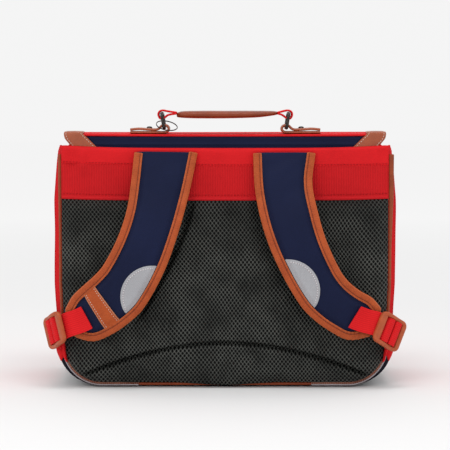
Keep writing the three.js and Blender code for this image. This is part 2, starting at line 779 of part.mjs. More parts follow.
// Height of the padded face at a place across the strap
function strapFace(frame, across) {
  const hem = frame.half - hemWidth - gap;
  const rise = clamp((hem - Math.abs(across)) / strapShoulder, 0, 1);
  const crown = clamp(1 - Math.abs(across) / frame.half, 0, 1);
  return hemHalf + (frame.thick / 2 - hemHalf) * (0.7 * rise + 0.3 * crown * rise);
}

function strapSection(frame, inset) {
  const edge = frame.half - inset;
  const hem = Math.max(frame.half - hemWidth - gap, edge * 0.3);
  const shoulder = Math.max(hem - strapShoulder, 1);
  const across = [edge, hem, shoulder, 0, -shoulder, -hem, -edge];
  const rise = (u) => (Math.abs(u) === edge ? hemHalf : strapFace(frame, u));
  const front = across.map((u) => new THREE.Vector2(u, rise(u)));
  return [...front, ...front.map((p) => new THREE.Vector2(p.x, -p.y)).reverse()];
}

const strapEndGap = 0.012;
const bindingInset = bindingThick + 4 * gap;
function strapBody(label) {
  const stations = [...shares(20).map((s) => s * 0.95), 0.975, 1 - strapEndGap];
  const sections = stations.map((along) => {
    const frame = strapAt(label, along);
    const inset = bindingInset + 4 * smooth(clamp((along - 0.82) / 0.18, 0, 1));
    return { frame, flat: strapSection(frame, inset) };
  });
  const rings = sections.map(({ frame, flat }) => flat.map((p) => strapPoint(frame, p.x, p.y)));
  return loft(rings, sections[0].flat);
}

// Binding: a folded tape round the strap's outer edge, its end and its inner edge
function strapBinding(label) {
  const steps = 18;
  const edge = (sign) => shares(steps).map((along) => {
    const frame = strapAt(label, along);
    return strapPoint(frame, sign * frame.half, 0);
  });
  const outer = edge(1);
  const inner = edge(-1);
  const path = [
    ...outer.map((point, i) => ({ point, towards: inner[i] })),
    { point: outer[steps].clone().lerp(inner[steps], 0.5), towards: strapAt(label, 0.97).middle },
    ...inner.map((point, i) => ({ point, towards: outer[i] })).reverse(),
  ];
  const face = hemHalf + hemGap;
  const fold = 0.8;
  const section = [
    [hemWidth, face + bindingThick],
    [fold, face + bindingThick],
    [0, face],
    [0, -face],
    [fold, -face - bindingThick],
    [hemWidth, -face - bindingThick],
    [hemWidth, -face],
    [bindingThick, -face],
    [bindingThick, face],
    [hemWidth, face],
  ].map(([u, v]) => new THREE.Vector2(u, v));
  const rings = path.map(({ point, towards }, i) => {
    const before = path[Math.max(i - 1, 0)].point;
    const after = path[Math.min(i + 1, path.length - 1)].point;
    const heading = after.clone().sub(before).setY(0).normalize();
    const inward = new THREE.Vector3(heading.z, 0, -heading.x);
    if (inward.dot(towards.clone().sub(point)) < 0) inward.negate();
    return section.map((p) => {
      const place = point.clone().addScaledVector(inward, p.x);
      place.y = backY - strapStandAt(label, place) - p.y;
      return place;
    });
  });
  return loft(rings, section);
}

const patchLift = 1.6 * gap;

// A thin patch on the strap's face between two places across, along a run of the strap
function strapPatch(label, alongs, acrossAt, thick) {
  const grid = (lift) => alongs.map((along) => {
    const frame = strapAt(label, along);
    const [low, high] = acrossAt(frame, along);
    const shoulder = frame.half - hemWidth - gap - strapShoulder;
    const breaks = [-shoulder, 0, shoulder].map((u) => clamp(u, low, high));
    const proud = (across) => strapFace(frame, across) + patchLift + lift;
    return [low, ...breaks, high].map((across) => strapPoint(frame, across, proud(across)));
  });
  return wall(grid(thick), grid(0));
}

// Reflector: a round patch cut off by the inner binding. Its middle is given by the share along the strap
// and by the length across it.
const reflectorPlaces = {
  left: { along: 0.608, across: -33.6 },
  right: { along: 0.586, across: -32.6 },
};

function reflector(label) {
  const place = reflectorPlaces[label];
  const seat = strapAt(label, place.along);
  const middle = seat.middle.clone().addScaledVector(seat.outward, place.across);
  const reach = (along) => {
    const frame = strapAt(label, along);
    const low = -(frame.half - hemWidth - 3 * gap);
    let high = low;
    const distance = (across) => {
      const p = strapPoint(frame, across, 0);
      return Math.hypot(p.x - middle.x, p.z - middle.z);
    };
    while (high < frame.half && distance(high) < reflectorRadius) high += 0.5;
    return high - low > 0.9 ? [low, high] : null;
  };
  const alongs = shares(120).filter((along) => reach(along) !== null);
  const first = alongs[0];
  const last = alongs[alongs.length - 1];
  const kept = shares(12).map((s) => lerp(first, last, (1 - Math.cos(s * Math.PI)) / 2));
  const cutEdge = (frame) => -(frame.half - hemWidth - 3 * gap);
  const span = (frame, along) => reach(along) ?? [cutEdge(frame), cutEdge(frame) + 1];
  return strapPatch(label, kept, span, reflectorThick);
}

for (const label of ['left', 'right']) {
  add(`strap_${label}`, strapBody(label), clothNavy);
  add(`strap_binding_${label}`, strapBinding(label), leatherTan);
  add(`reflector_${label}`, reflector(label), reflectiveGrey);
}
add('strap_keeper_left', strapPatch(
  'left',
  shares(3).map((s) => 1 - lerp(keeperHigh, keeperLow, s) / strapLength),
  (frame) => [-(frame.half - hemWidth - 2 * gap), frame.half - hemWidth - 2 * gap],
  keeperThick,
), leatherTan);

// Fastenings: a four-bar buckle between the strap end and the webbing sewn into the seam. Inside each
// group +X is outwards along the webbing for the right one and -X for the left one. out is measured from
// the side of the body and off from the back board. In degrees, tilt turns the buckle as seen from behind,
// lean tips its top towards the body and yaw swings its outer end towards the body.
const fastenings = {
  left: { out: 5.9, off: -12.4, z: 66.1, tilt: 15, lean: 16, yaw: 53 },
  right: { out: -1, off: -18.6, z: 65.6, tilt: 23, lean: 16, yaw: 30 },
};

function buckleBody(side) {
  const half = buckleLength / 2;
  const wideIn = buckleWide / 2;
  const wideOut = wideIn - buckleTaper / 2;
  const round = buckleRound;
  const shape = new THREE.Shape();
  shape.moveTo(-half + round, -wideIn);
  shape.lineTo(half - round, -wideOut);
  shape.quadraticCurveTo(half, -wideOut, half, -wideOut + round);
  shape.lineTo(half, wideOut - round);
  shape.quadraticCurveTo(half, wideOut, half - round, wideOut);
  shape.lineTo(-half + round, wideIn);
  shape.quadraticCurveTo(-half, wideIn, -half, wideIn - round);
  shape.lineTo(-half, -wideIn + round);
  shape.quadraticCurveTo(-half, -wideIn, -half + round, -wideIn);
  const slots = buckleSlots().map(([low, high], i) => {
    const tall = wideOut - railWide + (i === 1 ? slotCorner / 2 : 0);
    return [
      [low + slotCorner, -tall],
      [high - slotCorner, -tall],
      [high, slotCorner - tall],
      [high, tall - slotCorner],
      [high - slotCorner, tall],
      [low + slotCorner, tall],
      [low, tall - slotCorner],
      [low, slotCorner - tall],
    ].map(([u, v]) => new THREE.Vector2(side * u, v));
  });
  const outline = shape.getPoints(3).slice(0, -1).map((p) => new THREE.Vector2(side * p.x, p.y));
  return plate(outline, -buckleThick / 2, buckleThick, slots);
}

// Slots along the buckle's length: the two middle bars share what the end bars leave
function buckleSlots() {
  const first = -buckleLength / 2 + innerBar;
  const last = buckleLength / 2 - outerBar;
  const middleBar = (last - first - 3 * slotLength) / 2;
  return [0, 1, 2].map((i) => {
    const low = first + i * (slotLength + middleBar);
    return [low, low + slotLength];
  });
}

const middleOf = (slot) => (slot[0] + slot[1]) / 2;

// A flat ribbon through stations: each has its middle, the direction of its width and its thickness
function ribbon(stations, wide, thick) {
  const flat = [[-1, -1], [1, -1], [1, 1], [-1, 1]].map(([a, b]) => new THREE.Vector2(a, b));
  const rings = stations.map((station, i) => {
    const before = stations[Math.max(i - 1, 0)].middle;
    const after = stations[Math.min(i + 1, stations.length - 1)].middle;
    const heading = after.clone().sub(before).normalize();
    const normal = heading.clone().cross(station.width).normalize();
    return flat.map((p) => station.middle.clone()
      .addScaledVector(station.width, (p.x * wide) / 2)
      .addScaledVector(normal, (p.y * thick) / 2));
  });
  return loft(rings, flat);
}

for (const label of ['left', 'right']) {
  const side = label === 'left' ? -1 : 1;
  const place = fastenings[label];
  const tilt = new THREE.Matrix4().makeRotationY(side * THREE.MathUtils.degToRad(place.tilt));
  const lean = new THREE.Matrix4().makeRotationX(-THREE.MathUtils.degToRad(place.lean));
  const yaw = new THREE.Matrix4().makeRotationZ(side * THREE.MathUtils.degToRad(place.yaw));
  const centre = new THREE.Vector3(side * (bodyHalf + place.out), backY + place.off, place.z);
  const turned = new THREE.Matrix4().makeTranslation(centre.x, centre.y, centre.z)
    .multiply(tilt)
    .multiply(lean);
  const placed = turned.clone().multiply(yaw);
  add(`buckle_${label}`, buckleBody(side).applyMatrix4(placed), plasticTan);

  const widthLine = new THREE.Vector3(0, 0, 1).transformDirection(turned);
  const passHeight = buckleThick / 2 + webbingThick / 2 + gap + passClear;
  const onBuckle = ({ along, off }) => ({
    middle: new THREE.Vector3(side * along, off * passHeight, 0).applyMatrix4(placed),
    width: widthLine,
  });
  const [slotA, slotB, slotC] = buckleSlots();
  const edgeClear = webbingThick / 2 + gap;
  const onStrap = (share) => {
    const frame = strapAt(label, 1 - (share * webbingOnStrap) / strapLength);
    const face = Math.max(hemHalf + hemGap + bindingThick, strapFace(frame, 0));
    const twist = THREE.MathUtils.degToRad(place.lean * (1 - share));
    const width = frame.outward.clone().multiplyScalar(Math.cos(twist));
    width.y += Math.sin(twist);
    return { middle: strapPoint(frame, 0, face + edgeClear + 4 * gap + webbingLift * (1 - share)), width };
  };

  // Down the strap's end, under the inner bar, through the slots and back; off is a share of the pass height
  const upper = [
    ...[1, 0.66, 0.33, 0].map(onStrap),
    ...[
      { along: slotA[0] - 0.5, off: 1 },
      { along: slotA[0] + 0.9, off: 0.94 },
      { along: slotA[1] - 1.1, off: -0.88 },
      { along: slotA[1] + 0.5, off: -1 },
      { along: slotB[0] - 0.3, off: -1 },
      { along: slotB[0] + edgeClear, off: -0.82 },
      { along: slotB[0] + edgeClear, off: 0.82 },
      { along: slotB[0] - 0.5, off: 1.06 },
      { along: slotA[1], off: 1.09 },
      { along: middleOf(slotA), off: 1.455 },
      { along: slotA[0] - 2, off: 1.73 },
    ].map(onBuckle),
  ];
  add(`strap_webbing_${label}`, ribbon(upper, webbingWide, webbingThick), webbingRed);

  const seamLow = seamPoint(1.25);
  const seamHigh = seamPoint(0.97);
  const seamRun = new THREE.Vector3(side * (seamHigh.x - seamLow.x), 0, seamHigh.z - seamLow.z);
  const seamLine = seamRun.normalize();
  const seamMiddle = seamPoint(1.1);
  const anchor = new THREE.Vector3(
    side * (seamMiddle.x - anchorInset),
    backY - padEdge - 2 * gap,
    seamMiddle.z + anchorRise,
  );
  const behind = onBuckle({ along: middleOf(slotC), off: 1.91 });
  const lower = [
    { middle: anchor, width: seamLine },
    { middle: anchor.clone().add(new THREE.Vector3(side, -anchorStand, anchorRise)), width: seamLine },
    { middle: anchor.clone().lerp(behind.middle, 0.6), width: widthLine },
    behind,
    ...[
      { along: middleOf(slotC), off: 0.76 },
      { along: middleOf(slotC) - 0.6, off: -0.76 },
      { along: slotC[0] + 0.2, off: -1 },
      { along: slotB[1] + 0.2, off: -1 },
      { along: slotB[1] - edgeClear, off: -0.82 },
      { along: slotB[1] - edgeClear, off: 1 },
    ].map(onBuckle),
  ];
  add(`seam_webbing_${label}`, ribbon(lower, webbingWide, webbingThick), webbingRed);
}

// Handle: a rolled leather grip on webbing loops, rings and leather tabs that stand on the lid
const gripY = backY + handleY;
const tabFloor = lidTopZ(handleSpan + tabTail + handleMiddle, gripY + tabWide / 2) + gap;
const barZ = tabFloor + tabLeather + loopHoleHigh;
const ringLow = barZ + loopHoleHigh * 0.95 - ringWire - gap;

// Turns in degrees: where the tab's fold starts and ends, and the start of each rounded ring corner
const foldStart = 50;
const foldEnd = 270;
const ringCorners = [
  { deep: -1, up: false, from: 180 },
  { deep: 1, up: false, from: 270 },
  { deep: 1, up: true, from: 0 },
  { deep: -1, up: true, from: 90 },
];

// Side view of a webbing loop, out and up from the ring's top bar; null is the end of the grip
const loopOuterLine = [
  { out: null, up: 1.6 },
  { out: -6, up: 3.4 },
  { out: -1, up: 4.2 },
  { out: 3, up: 3 },
  { out: 4.8, up: 0 },
  { out: 4.2, up: -3.6 },
  { out: 1.5, up: -6.6 },
  { out: -2.5, up: -5.6 },
  { out: -7, up: -2.6 },
  { out: null, up: -0.6 },
];
const loopInnerLine = [
  { out: -7.5, up: 1.3 },
  { out: -1, up: 2.6 },
  { out: 2, up: 1.8 },
  { out: 3.2, up: -0.2 },
  { out: 2.6, up: -3 },
  { out: 1, up: -4.9 },
  { out: -2, up: -3.9 },
  { out: -7, up: -0.4 },
];

for (const [label, side] of [['left', -1], ['right', 1]]) {
  const x = (out) => side * (handleSpan + out) + handleMiddle;
  const ringTop = barZ + ringHigh;
  const arc = (middleOut, middleZ, wide, high, from, to, steps) => shares(steps).map((s) => {
    const angle = THREE.MathUtils.degToRad(lerp(from, to, s));
    return new THREE.Vector2(x(middleOut + wide * Math.cos(angle)), middleZ + high * Math.sin(angle));
  });
  const outWide = loopHoleWide + tabLeather;
  const outHigh = loopHoleHigh + tabLeather;
  const tabOutline = [
    ...arc(0, barZ, outWide, outHigh, foldStart, foldEnd, 8),
    new THREE.Vector2(x(tabTail), tabFloor),
    new THREE.Vector2(x(tabTail), tabFloor + tabLeather * 2.2),
    new THREE.Vector2(x(tabTail - tabTipInset), tabFloor + tabLeather * 2.6),
    new THREE.Vector2(x(tabTail * 0.5), tabFloor + tabLeather * 2.3),
    new THREE.Vector2(x(outWide + tabRootOut), tabFloor + tabLeather * 2),
  ];
  const hole = arc(0, barZ, loopHoleWide, loopHoleHigh, 0, 360, 10).slice(0, -1);
  add(`handle_tab_${label}`, plate(tabOutline, gripY - tabWide / 2, tabWide, [hole]), leatherTan);

  const rivetProfile = [[0, 0], [rivetRadius, 0], [rivetRadius * 0.8, rivetHigh * 0.8], [0, rivetHigh]];
  const rivet = new THREE.LatheGeometry(rivetProfile.map(([r, h]) => new THREE.Vector2(r, h)), 12);
  add(`handle_rivet_${label}`, rivet.rotateX(Math.PI / 2), gunmetal)
    .position.set(x(tabTail * 0.5 - rivetInset), gripY, tabFloor + tabLeather * 2.3 + gap);

  const loopLine = (line) => line.map(({ out, up }) => new THREE.Vector2(
    x((out ?? -gripEnd(side)) + ringLean),
    ringTop + up,
  ));
  const loop = plate(loopLine(loopOuterLine), gripY - loopWide / 2, loopWide, [loopLine(loopInnerLine)]);
  add(`handle_loop_${label}`, loop, webbingRed);

  const ringPath = ringCorners.flatMap(({ deep, up, from }) => {
    const middleY = gripY + deep * (ringDeep / 2 - ringCorner);
    const middleZ = up ? ringTop - ringCorner : ringLow + ringCorner;
    return shares(3).map((s) => {
      const angle = THREE.MathUtils.degToRad(from + 90 * s);
      const z = middleZ + ringCorner * Math.sin(angle);
      const lean = (ringLean * (z - barZ)) / ringHigh;
      return new THREE.Vector3(x(lean), middleY + ringCorner * Math.cos(angle), z);
    });
  });
  add(`handle_ring_${label}`, roundWire(ringPath, ringWire, 6, new THREE.Vector3(1, 0, 0)), gunmetal);
}

// Distance from a ring's top bar to the end of the grip
function gripEnd(side) {
  return handleSpan + ringLean - (gripHalf + side * (gripShift - handleMiddle)) - gap;
}

// A closed round wire along a loop of points that stays clear of the across direction
function roundWire(path, radius, sides, across) {
  const rings = path.map((point, i) => {
    const before = path[(i + path.length - 1) % path.length];
    const after = path[(i + 1) % path.length];
    const heading = after.clone().sub(before).normalize();
    const normal = heading.clone().cross(across).normalize();
    const binormal = heading.clone().cross(normal).normalize();
    return shares(sides).slice(0, sides).map((s) => {
      const angle = s * 2 * Math.PI;
      return point.clone()
        .addScaledVector(normal, radius * Math.cos(angle))
        .addScaledVector(binormal, radius * Math.sin(angle));
    });
  });
  return loft(rings, [], true);
}

// The grip: fuller in the middle, thinner at its right end
const gripRows = [
  { along: 0, deep: 0.5, high: 0.6, lift: -0.05 },
  { along: 0.04, deep: 0.8, high: 0.85, lift: 0 },
  { along: 0.2, deep: 1, high: 1, lift: 0 },
  { along: 0.5, deep: 1, high: 1, lift: 0 },
  { along: 0.8, deep: 1, high: 0.88, lift: 0.06 },
  { along: 0.96, deep: 0.8, high: 0.6, lift: 0.16 },
  { along: 1, deep: 0.5, high: 0.42, lift: 0.18 },
];
const gripZ = barZ + ringHigh - gripDrop;
const gripRings = [0, 0.02, 0.06, 0.2, 0.5, 0.75, 0.9, 0.96, 1].map((along) => {
  const row = rowAt(gripRows, along);
  return shares(12).slice(0, 12).map((s) => {
    const angle = s * 2 * Math.PI;
    return new THREE.Vector3(
      gripShift + lerp(-gripHalf, gripHalf, along),
      gripY + ((gripDeep * row.deep) / 2) * Math.cos(angle),
      gripZ + gripHigh * row.lift + ((gripHigh * row.high) / 2) * Math.sin(angle),
    );
  });
});
const gripFlat = shares(12).slice(0, 12).map((s) => new THREE.Vector2(
  Math.cos(s * 2 * Math.PI),
  Math.sin(s * 2 * Math.PI),
));
add('handle_grip', loft(gripRings, gripFlat), leatherDark);

// Thin key ring round the rear wire of the left handle ring, tilted and leaning by degrees
const keyRingMiddle = new THREE.Vector3(
  handleMiddle - handleSpan + keyRingOut,
  gripY - ringDeep / 2 + keyRingRadius - keyRingDeep,
  barZ + keyRingUp,
);
const keyRingPath = shares(18).slice(0, 18).map((s) => {
  const angle = s * 2 * Math.PI;
  const flat = new THREE.Vector3(keyRingRadius * Math.cos(angle), keyRingRadius * Math.sin(angle), 0);
  return flat.applyAxisAngle(new THREE.Vector3(1, 0, 0), THREE.MathUtils.degToRad(keyRingTilt))
    .applyAxisAngle(new THREE.Vector3(0, 1, 0), THREE.MathUtils.degToRad(keyRingLean))
    .add(keyRingMiddle);
});
add('key_ring', roundWire(keyRingPath, keyRingWire, 5, new THREE.Vector3(0, 0, 1)), gunmetal);

// Set the satchel down: the middle of its footprint on the origin, its base on the ground
part.updateMatrixWorld(true);
const box = new THREE.Box3().setFromObject(part, true);
const middle = box.getCenter(new THREE.Vector3());
part.position.set(-middle.x, -middle.y, -box.min.z);
part.updateMatrixWorld(true);

export default part;
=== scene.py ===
import math
import bmesh
import bpy
import numpy as np
from mathutils import Matrix, Vector


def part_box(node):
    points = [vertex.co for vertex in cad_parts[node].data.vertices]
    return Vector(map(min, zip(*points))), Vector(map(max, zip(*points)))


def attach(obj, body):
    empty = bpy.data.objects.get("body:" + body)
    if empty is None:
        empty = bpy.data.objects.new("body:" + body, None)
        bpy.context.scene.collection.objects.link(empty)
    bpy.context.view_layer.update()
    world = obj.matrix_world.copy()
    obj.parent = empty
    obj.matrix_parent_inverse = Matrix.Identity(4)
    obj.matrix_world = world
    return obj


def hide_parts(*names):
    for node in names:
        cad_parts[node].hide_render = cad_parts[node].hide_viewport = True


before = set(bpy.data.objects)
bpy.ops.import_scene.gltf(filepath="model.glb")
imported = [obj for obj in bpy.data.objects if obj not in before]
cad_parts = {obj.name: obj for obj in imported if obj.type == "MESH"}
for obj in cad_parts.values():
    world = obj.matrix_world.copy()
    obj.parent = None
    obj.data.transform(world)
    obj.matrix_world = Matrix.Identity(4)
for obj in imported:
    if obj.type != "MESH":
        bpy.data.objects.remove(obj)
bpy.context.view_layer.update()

# Lengths are millimetres with the middle of the body at x = y = 0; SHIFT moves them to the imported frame
BACK_Y, FRONT_Y = -75.0, 75.0
board_low, board_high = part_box("back_panel")
SHIFT = np.array([(board_low.x + board_high.x) / 2, board_low.y - BACK_Y / 1000, 0.0])

BODY_HALF, BODY_TAPER, TAPER_RISE = 184.5, 3.0, 70.0
BODY_HEIGHT, TOP_LIFT = 269.0, 3.5
CORNER, SEAM_BOTTOM = 43.2, 3.9
ARC_START = SEAM_BOTTOM + CORNER
ARC_MIDDLE = BODY_HALF - BODY_TAPER - CORNER
SIDE_TOP = BODY_HEIGHT + TOP_LIFT - 0.5
GAP, CLOTH = 0.3, 2.4
SIDES = {"left": -1, "right": 1}


# Numbers and arrays

def lerp(a, b, share):
    return a + (b - a) * share


def clip01(value):
    return np.clip(value, 0.0, 1.0)


def ease(value):
    value = clip01(value)
    return value * value * (3 - 2 * value)


def bell(distance, width):
    """A smooth hump of height 1."""
    return np.exp(-(distance / width) ** 2)


def spans(*parts):
    """Even steps over spans that follow each other, each given by start, end and count."""
    return np.unique(np.concatenate([np.linspace(*part) for part in parts]))


def stacked(*parts):
    return np.stack(np.broadcast_arrays(*parts), axis=-1)


def unit(vectors):
    return vectors / (np.linalg.norm(vectors, axis=-1, keepdims=True) + 1e-9)


def oval(count, power=1.0):
    """Cosines and sines round a circle; a power below 1 makes it squarer."""
    angles = np.linspace(0, 2 * math.pi, count, endpoint=False)
    return [np.sign(part) * np.abs(part) ** power for part in (np.cos(angles), np.sin(angles))]


def quarter(count):
    return np.sin(np.linspace(0, math.pi / 2, count))


def at_y(grid, y):
    """The same grid of points, moved to another depth."""
    moved = grid.copy()
    moved[..., 1] = y
    return moved


def waves(a, b, seed, scale):
    """Soft, repeatable unevenness from -1 to 1 over two lengths."""
    rng = np.random.default_rng(seed)
    total = 0.0
    for k in range(6):
        turn = rng.uniform(0, 2 * math.pi)
        step = (1 + 0.55 * k) / scale
        phase = rng.uniform(0, 2 * math.pi)
        total = total + np.sin((a * math.cos(turn) + b * math.sin(turn)) * step + phase) / (1 + 0.6 * k)
    return total / 2.6


def catmull(a, b, c, d, t):
    """Between b and c on a smooth curve through four points."""
    return 0.5 * (2 * b + (c - a) * t + (2 * a - 5 * b + 4 * c - d) * t ** 2
                  + (3 * b - a - 3 * c + d) * t ** 3)


# Lines

def distances(points, axis=0):
    """Length travelled along an array of points."""
    steps = np.linalg.norm(np.diff(points, axis=axis), axis=-1)
    return np.concatenate([0 * np.take(steps, [0], axis), np.cumsum(steps, axis=axis)], axis=axis)


def sampled(places, run, line):
    return np.stack([np.interp(places, run, line[:, k]) for k in range(3)], axis=-1)


def evenly(line, step):
    run = distances(line)
    return sampled(np.linspace(0, run[-1], max(3, int(run[-1] / step) + 1)), run, line)


def curve_through(points, step):
    """A smooth line through the points, sampled evenly."""
    p = np.asarray(points, float)
    padded = np.vstack([2 * p[0] - p[1], p, 2 * p[-1] - p[-2]])
    shares = np.linspace(0, 1, 16, endpoint=False)[:, None]
    fine = [catmull(*padded[i:i + 4], shares) for i in range(len(p) - 1)]
    return evenly(np.vstack(fine + [p[-1:]]), step)


def refined(grid, places):
    """Rows between the rows of a grid, on smooth curves through them."""
    low = np.clip(places.astype(int), 0, len(grid) - 2)
    share = (places - low)[:, None, None]
    return catmull(grid[np.maximum(low - 1, 0)], grid[low], grid[low + 1],
                   grid[np.minimum(low + 2, len(grid) - 1)], share)


def softened(points, times=3):
    """Corners cut off a line of points, a few times over."""
    p = np.asarray(points, float)
    for _ in range(times):
        q, r = lerp(p[:-1], p[1:], 0.25), lerp(p[:-1], p[1:], 0.75)
        p = np.vstack([p[:1], np.stack([q, r], axis=1).reshape(-1, 3), p[-1:]])
    return p


def headings(line, closed=False):
    if closed:
        return unit(np.roll(line, -1, axis=0) - np.roll(line, 1, axis=0))
    return unit(np.gradient(line, axis=0))


# Meshes. A finish is a material with its slot, and stands_for names the nodes that a piece replaces

def piece(name, points, faces, finish, *stands_for, uv=None):
    mesh = bpy.data.meshes.new(name)
    mesh.from_pydata((np.asarray(points) * 0.001 + SHIFT).tolist(), [], faces)
    mesh.validate()
    mesh.polygons.foreach_set("use_smooth", np.ones(len(mesh.polygons), bool))
    if uv is not None:
        corners = np.zeros(len(mesh.loops), np.int32)
        mesh.loops.foreach_get("vertex_index", corners)
        layer = mesh.uv_layers.new(name="lengths")
        layer.data.foreach_set("uv", (np.asarray(uv)[corners] * 0.001).astype(np.float32).ravel())
    work = bmesh.new()
    work.from_mesh(mesh)
    bmesh.ops.recalc_face_normals(work, faces=work.faces)
    work.to_mesh(mesh)
    work.free()
    obj = bpy.data.objects.new(name, mesh)
    bpy.context.scene.collection.objects.link(obj)
    material, slot = finish
    mesh.materials.append(material)
    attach(obj, "root")
    if stands_for:
        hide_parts(*stands_for)
    return obj


def grid_faces(rows, columns, start=0, loop=False):
    last = columns if loop else columns - 1
    return [
        (start + r * columns + c, start + r * columns + (c + 1) % columns,
         start + (r + 1) * columns + (c + 1) % columns, start + (r + 1) * columns + c)
        for r in range(rows - 1) for c in range(last)
    ]


def wall(name, outer, inner, finish, *stands_for):
    """A sheet between two grids of points with a rounded rim."""
    rows, columns = outer.shape[:2]
    count = rows * columns
    rim = ([(0, c) for c in range(columns - 1)] + [(r, columns - 1) for r in range(rows - 1)]
           + [(rows - 1, c) for c in range(columns - 1, 0, -1)] + [(r, 0) for r in range(rows - 1, 0, -1)])
    index = np.array([r * columns + c for r, c in rim])
    near = np.array([min(max(r, 1), rows - 2) * columns + min(max(c, 1), columns - 2) for r, c in rim])
    a, b = outer.reshape(-1, 3), inner.reshape(-1, 3)
    thick = np.linalg.norm(a[index] - b[index], axis=1)[:, None]
    middle = (a[index] + b[index]) / 2 + unit(a[index] - a[near]) * thick * 0.42
    faces = grid_faces(rows, columns) + [tuple(reversed(f)) for f in grid_faces(rows, columns, count)]
    total = len(rim)
    for k in range(total):
        n = (k + 1) % total
        faces.append((int(index[k]), int(index[n]), 2 * count + n, 2 * count + k))
        faces.append((2 * count + k, 2 * count + n, count + int(index[n]), count + int(index[k])))
    across = distances(outer, 1)
    lengths = stacked(across - across[:, [columns // 2]], distances(outer, 0)).reshape(-1, 2)
    return piece(name, np.vstack([a, b, middle]), faces, finish, *stands_for,
                 uv=np.vstack([lengths, lengths, lengths[index]]))


def ring_mesh(rings, closed=False, uv=None):
    """Points, faces and lengths of a body made of rings; open ends are closed by small rounded rings."""
    rings = np.asarray(rings)
    if not closed:
        ends = []
        for ring, other in ((rings[0], rings[1]), (rings[-1], rings[-2])):
            centre = ring.mean(axis=0)
            push = unit(centre - other.mean(axis=0)) * np.linalg.norm(ring - centre, axis=1).min()
            ends.append([centre + (ring - centre) * s + push * p for s, p in ((0.9, 0.16), (0.6, 0.3))])
        rings = np.concatenate([ends[0][::-1], rings, ends[1]])
        if uv is not None:
            uv = np.concatenate([uv[:1], uv[:1], uv, uv[-1:], uv[-1:]])
    rows, columns = rings.shape[:2]
    faces = grid_faces(rows, columns, loop=True)
    last = (rows - 1) * columns
    if closed:
        faces += [(last + c, last + (c + 1) % columns, (c + 1) % columns, c) for c in range(columns)]
    else:
        faces += [tuple(range(columns)), tuple(last + c for c in reversed(range(columns)))]
    if uv is None:
        uv = stacked(distances(rings[rows // 2])[None, :], distances(rings.mean(axis=1))[:, None])
    return rings.reshape(-1, 3), faces, uv.reshape(-1, 2)


def loft(name, rings, finish, *stands_for, closed=False, uv=None):
    points, faces, lengths = ring_mesh(rings, closed, uv)
    return piece(name, points, faces, finish, *stands_for, uv=lengths)


def merged(name, bodies, finish, *stands_for):
    """Several bodies from ring_mesh in one piece."""
    faces, start = [], 0
    for points, some_faces, _ in bodies:
        faces += [tuple(i + start for i in face) for face in some_faces]
        start += len(points)
    return piece(name, np.vstack([body[0] for body in bodies]), faces, finish, *stands_for,
                 uv=np.vstack([body[2] for body in bodies]))


def swept(line, across, normal, section):
    return line[:, None] + across[:, None] * section[..., :1] + normal[:, None] * section[..., 1:]


def tube_rings(line, side, wide, deep, count, closed=False, power=1.0):
    """Rings of a wire along a line. It is wide in the side direction; wide and deep are half sizes."""
    way = headings(line, closed)
    normal = unit(np.cross(way, side))
    c, s = oval(count, power)
    section = stacked(np.reshape(wide, (-1, 1)) * c, np.reshape(deep, (-1, 1)) * s)
    return swept(line, np.cross(normal, way), normal, section)


def tube(name, line, side, radius, count, finish, *stands_for, closed=False, deep=None):
    rings = tube_rings(line, side, radius, radius if deep is None else deep, count, closed)
    return loft(name, rings, finish, *stands_for, closed=closed)


def band_section(wide, thick, crown):
    """Outline of a flat band: round edges and faces that may swell a little."""
    half, edge = wide / 2, thick / 2
    angles = np.radians(np.linspace(-90, 90, 7))
    round_edge = stacked(half - edge + edge * np.cos(angles), edge * np.sin(angles))
    across = np.linspace(half - edge, edge - half, 11)[1:-1]
    right = np.vstack([round_edge, stacked(across, edge + crown * (1 - (across / half) ** 2))])
    return np.vstack([right, -right])


def ribbon(name, line, widths, wide, thick, finish, *stands_for, crown=0.0):
    widths = np.broadcast_to(np.asarray(widths, float), line.shape)
    section = band_section(wide, thick, crown)
    rings = swept(line, widths, unit(np.cross(headings(line), widths)), section)
    return loft(name, rings, finish, *stands_for, uv=stacked(section[None, :, 0], distances(line)[:, None]))


STITCH_SHARES = np.array([0, 0.12, 0.5, 0.88, 1])
STITCH_SIZES = np.array([0.35, 0.85, 1, 0.85, 0.35])
STITCH_HEIGHTS = np.array([-0.9, -0.2, 0.25, -0.2, -0.9])
STITCH_SINK = 0.05


def stitches(name, line, normals, finish, pitch=3.4, length=2.3, radius=0.34):
    """Separate stitches along a line that lies on a surface."""
    normals = np.broadcast_to(np.asarray(normals, float), line.shape)
    run = distances(line)
    count = max(1, int(run[-1] / pitch))
    starts = (np.arange(count) + 0.5) * run[-1] / count - length / 2
    places = starts[:, None] + STITCH_SHARES * length
    spine = sampled(places, run, line)
    up = unit(sampled(places, run, normals))
    across = np.cross(up, unit(spine[:, -1] - spine[:, 0])[:, None])
    centres = spine + up * (STITCH_HEIGHTS * radius - STITCH_SINK)[:, None]
    c, s = oval(6)
    around = across[:, :, None] * c[:, None] + up[:, :, None] * s[:, None]
    points = centres[:, :, None] + around * (radius * STITCH_SIZES)[:, None, None]
    faces = []
    for base in range(0, 30 * count, 30):
        faces += grid_faces(5, 6, base, loop=True)
        faces += [tuple(range(base, base + 6)), tuple(reversed(range(base + 24, base + 30)))]
    return piece(name, points.reshape(-1, 3), faces, finish)


# Materials

BLACK, WHITE = (0, 0, 0), (1, 1, 1)


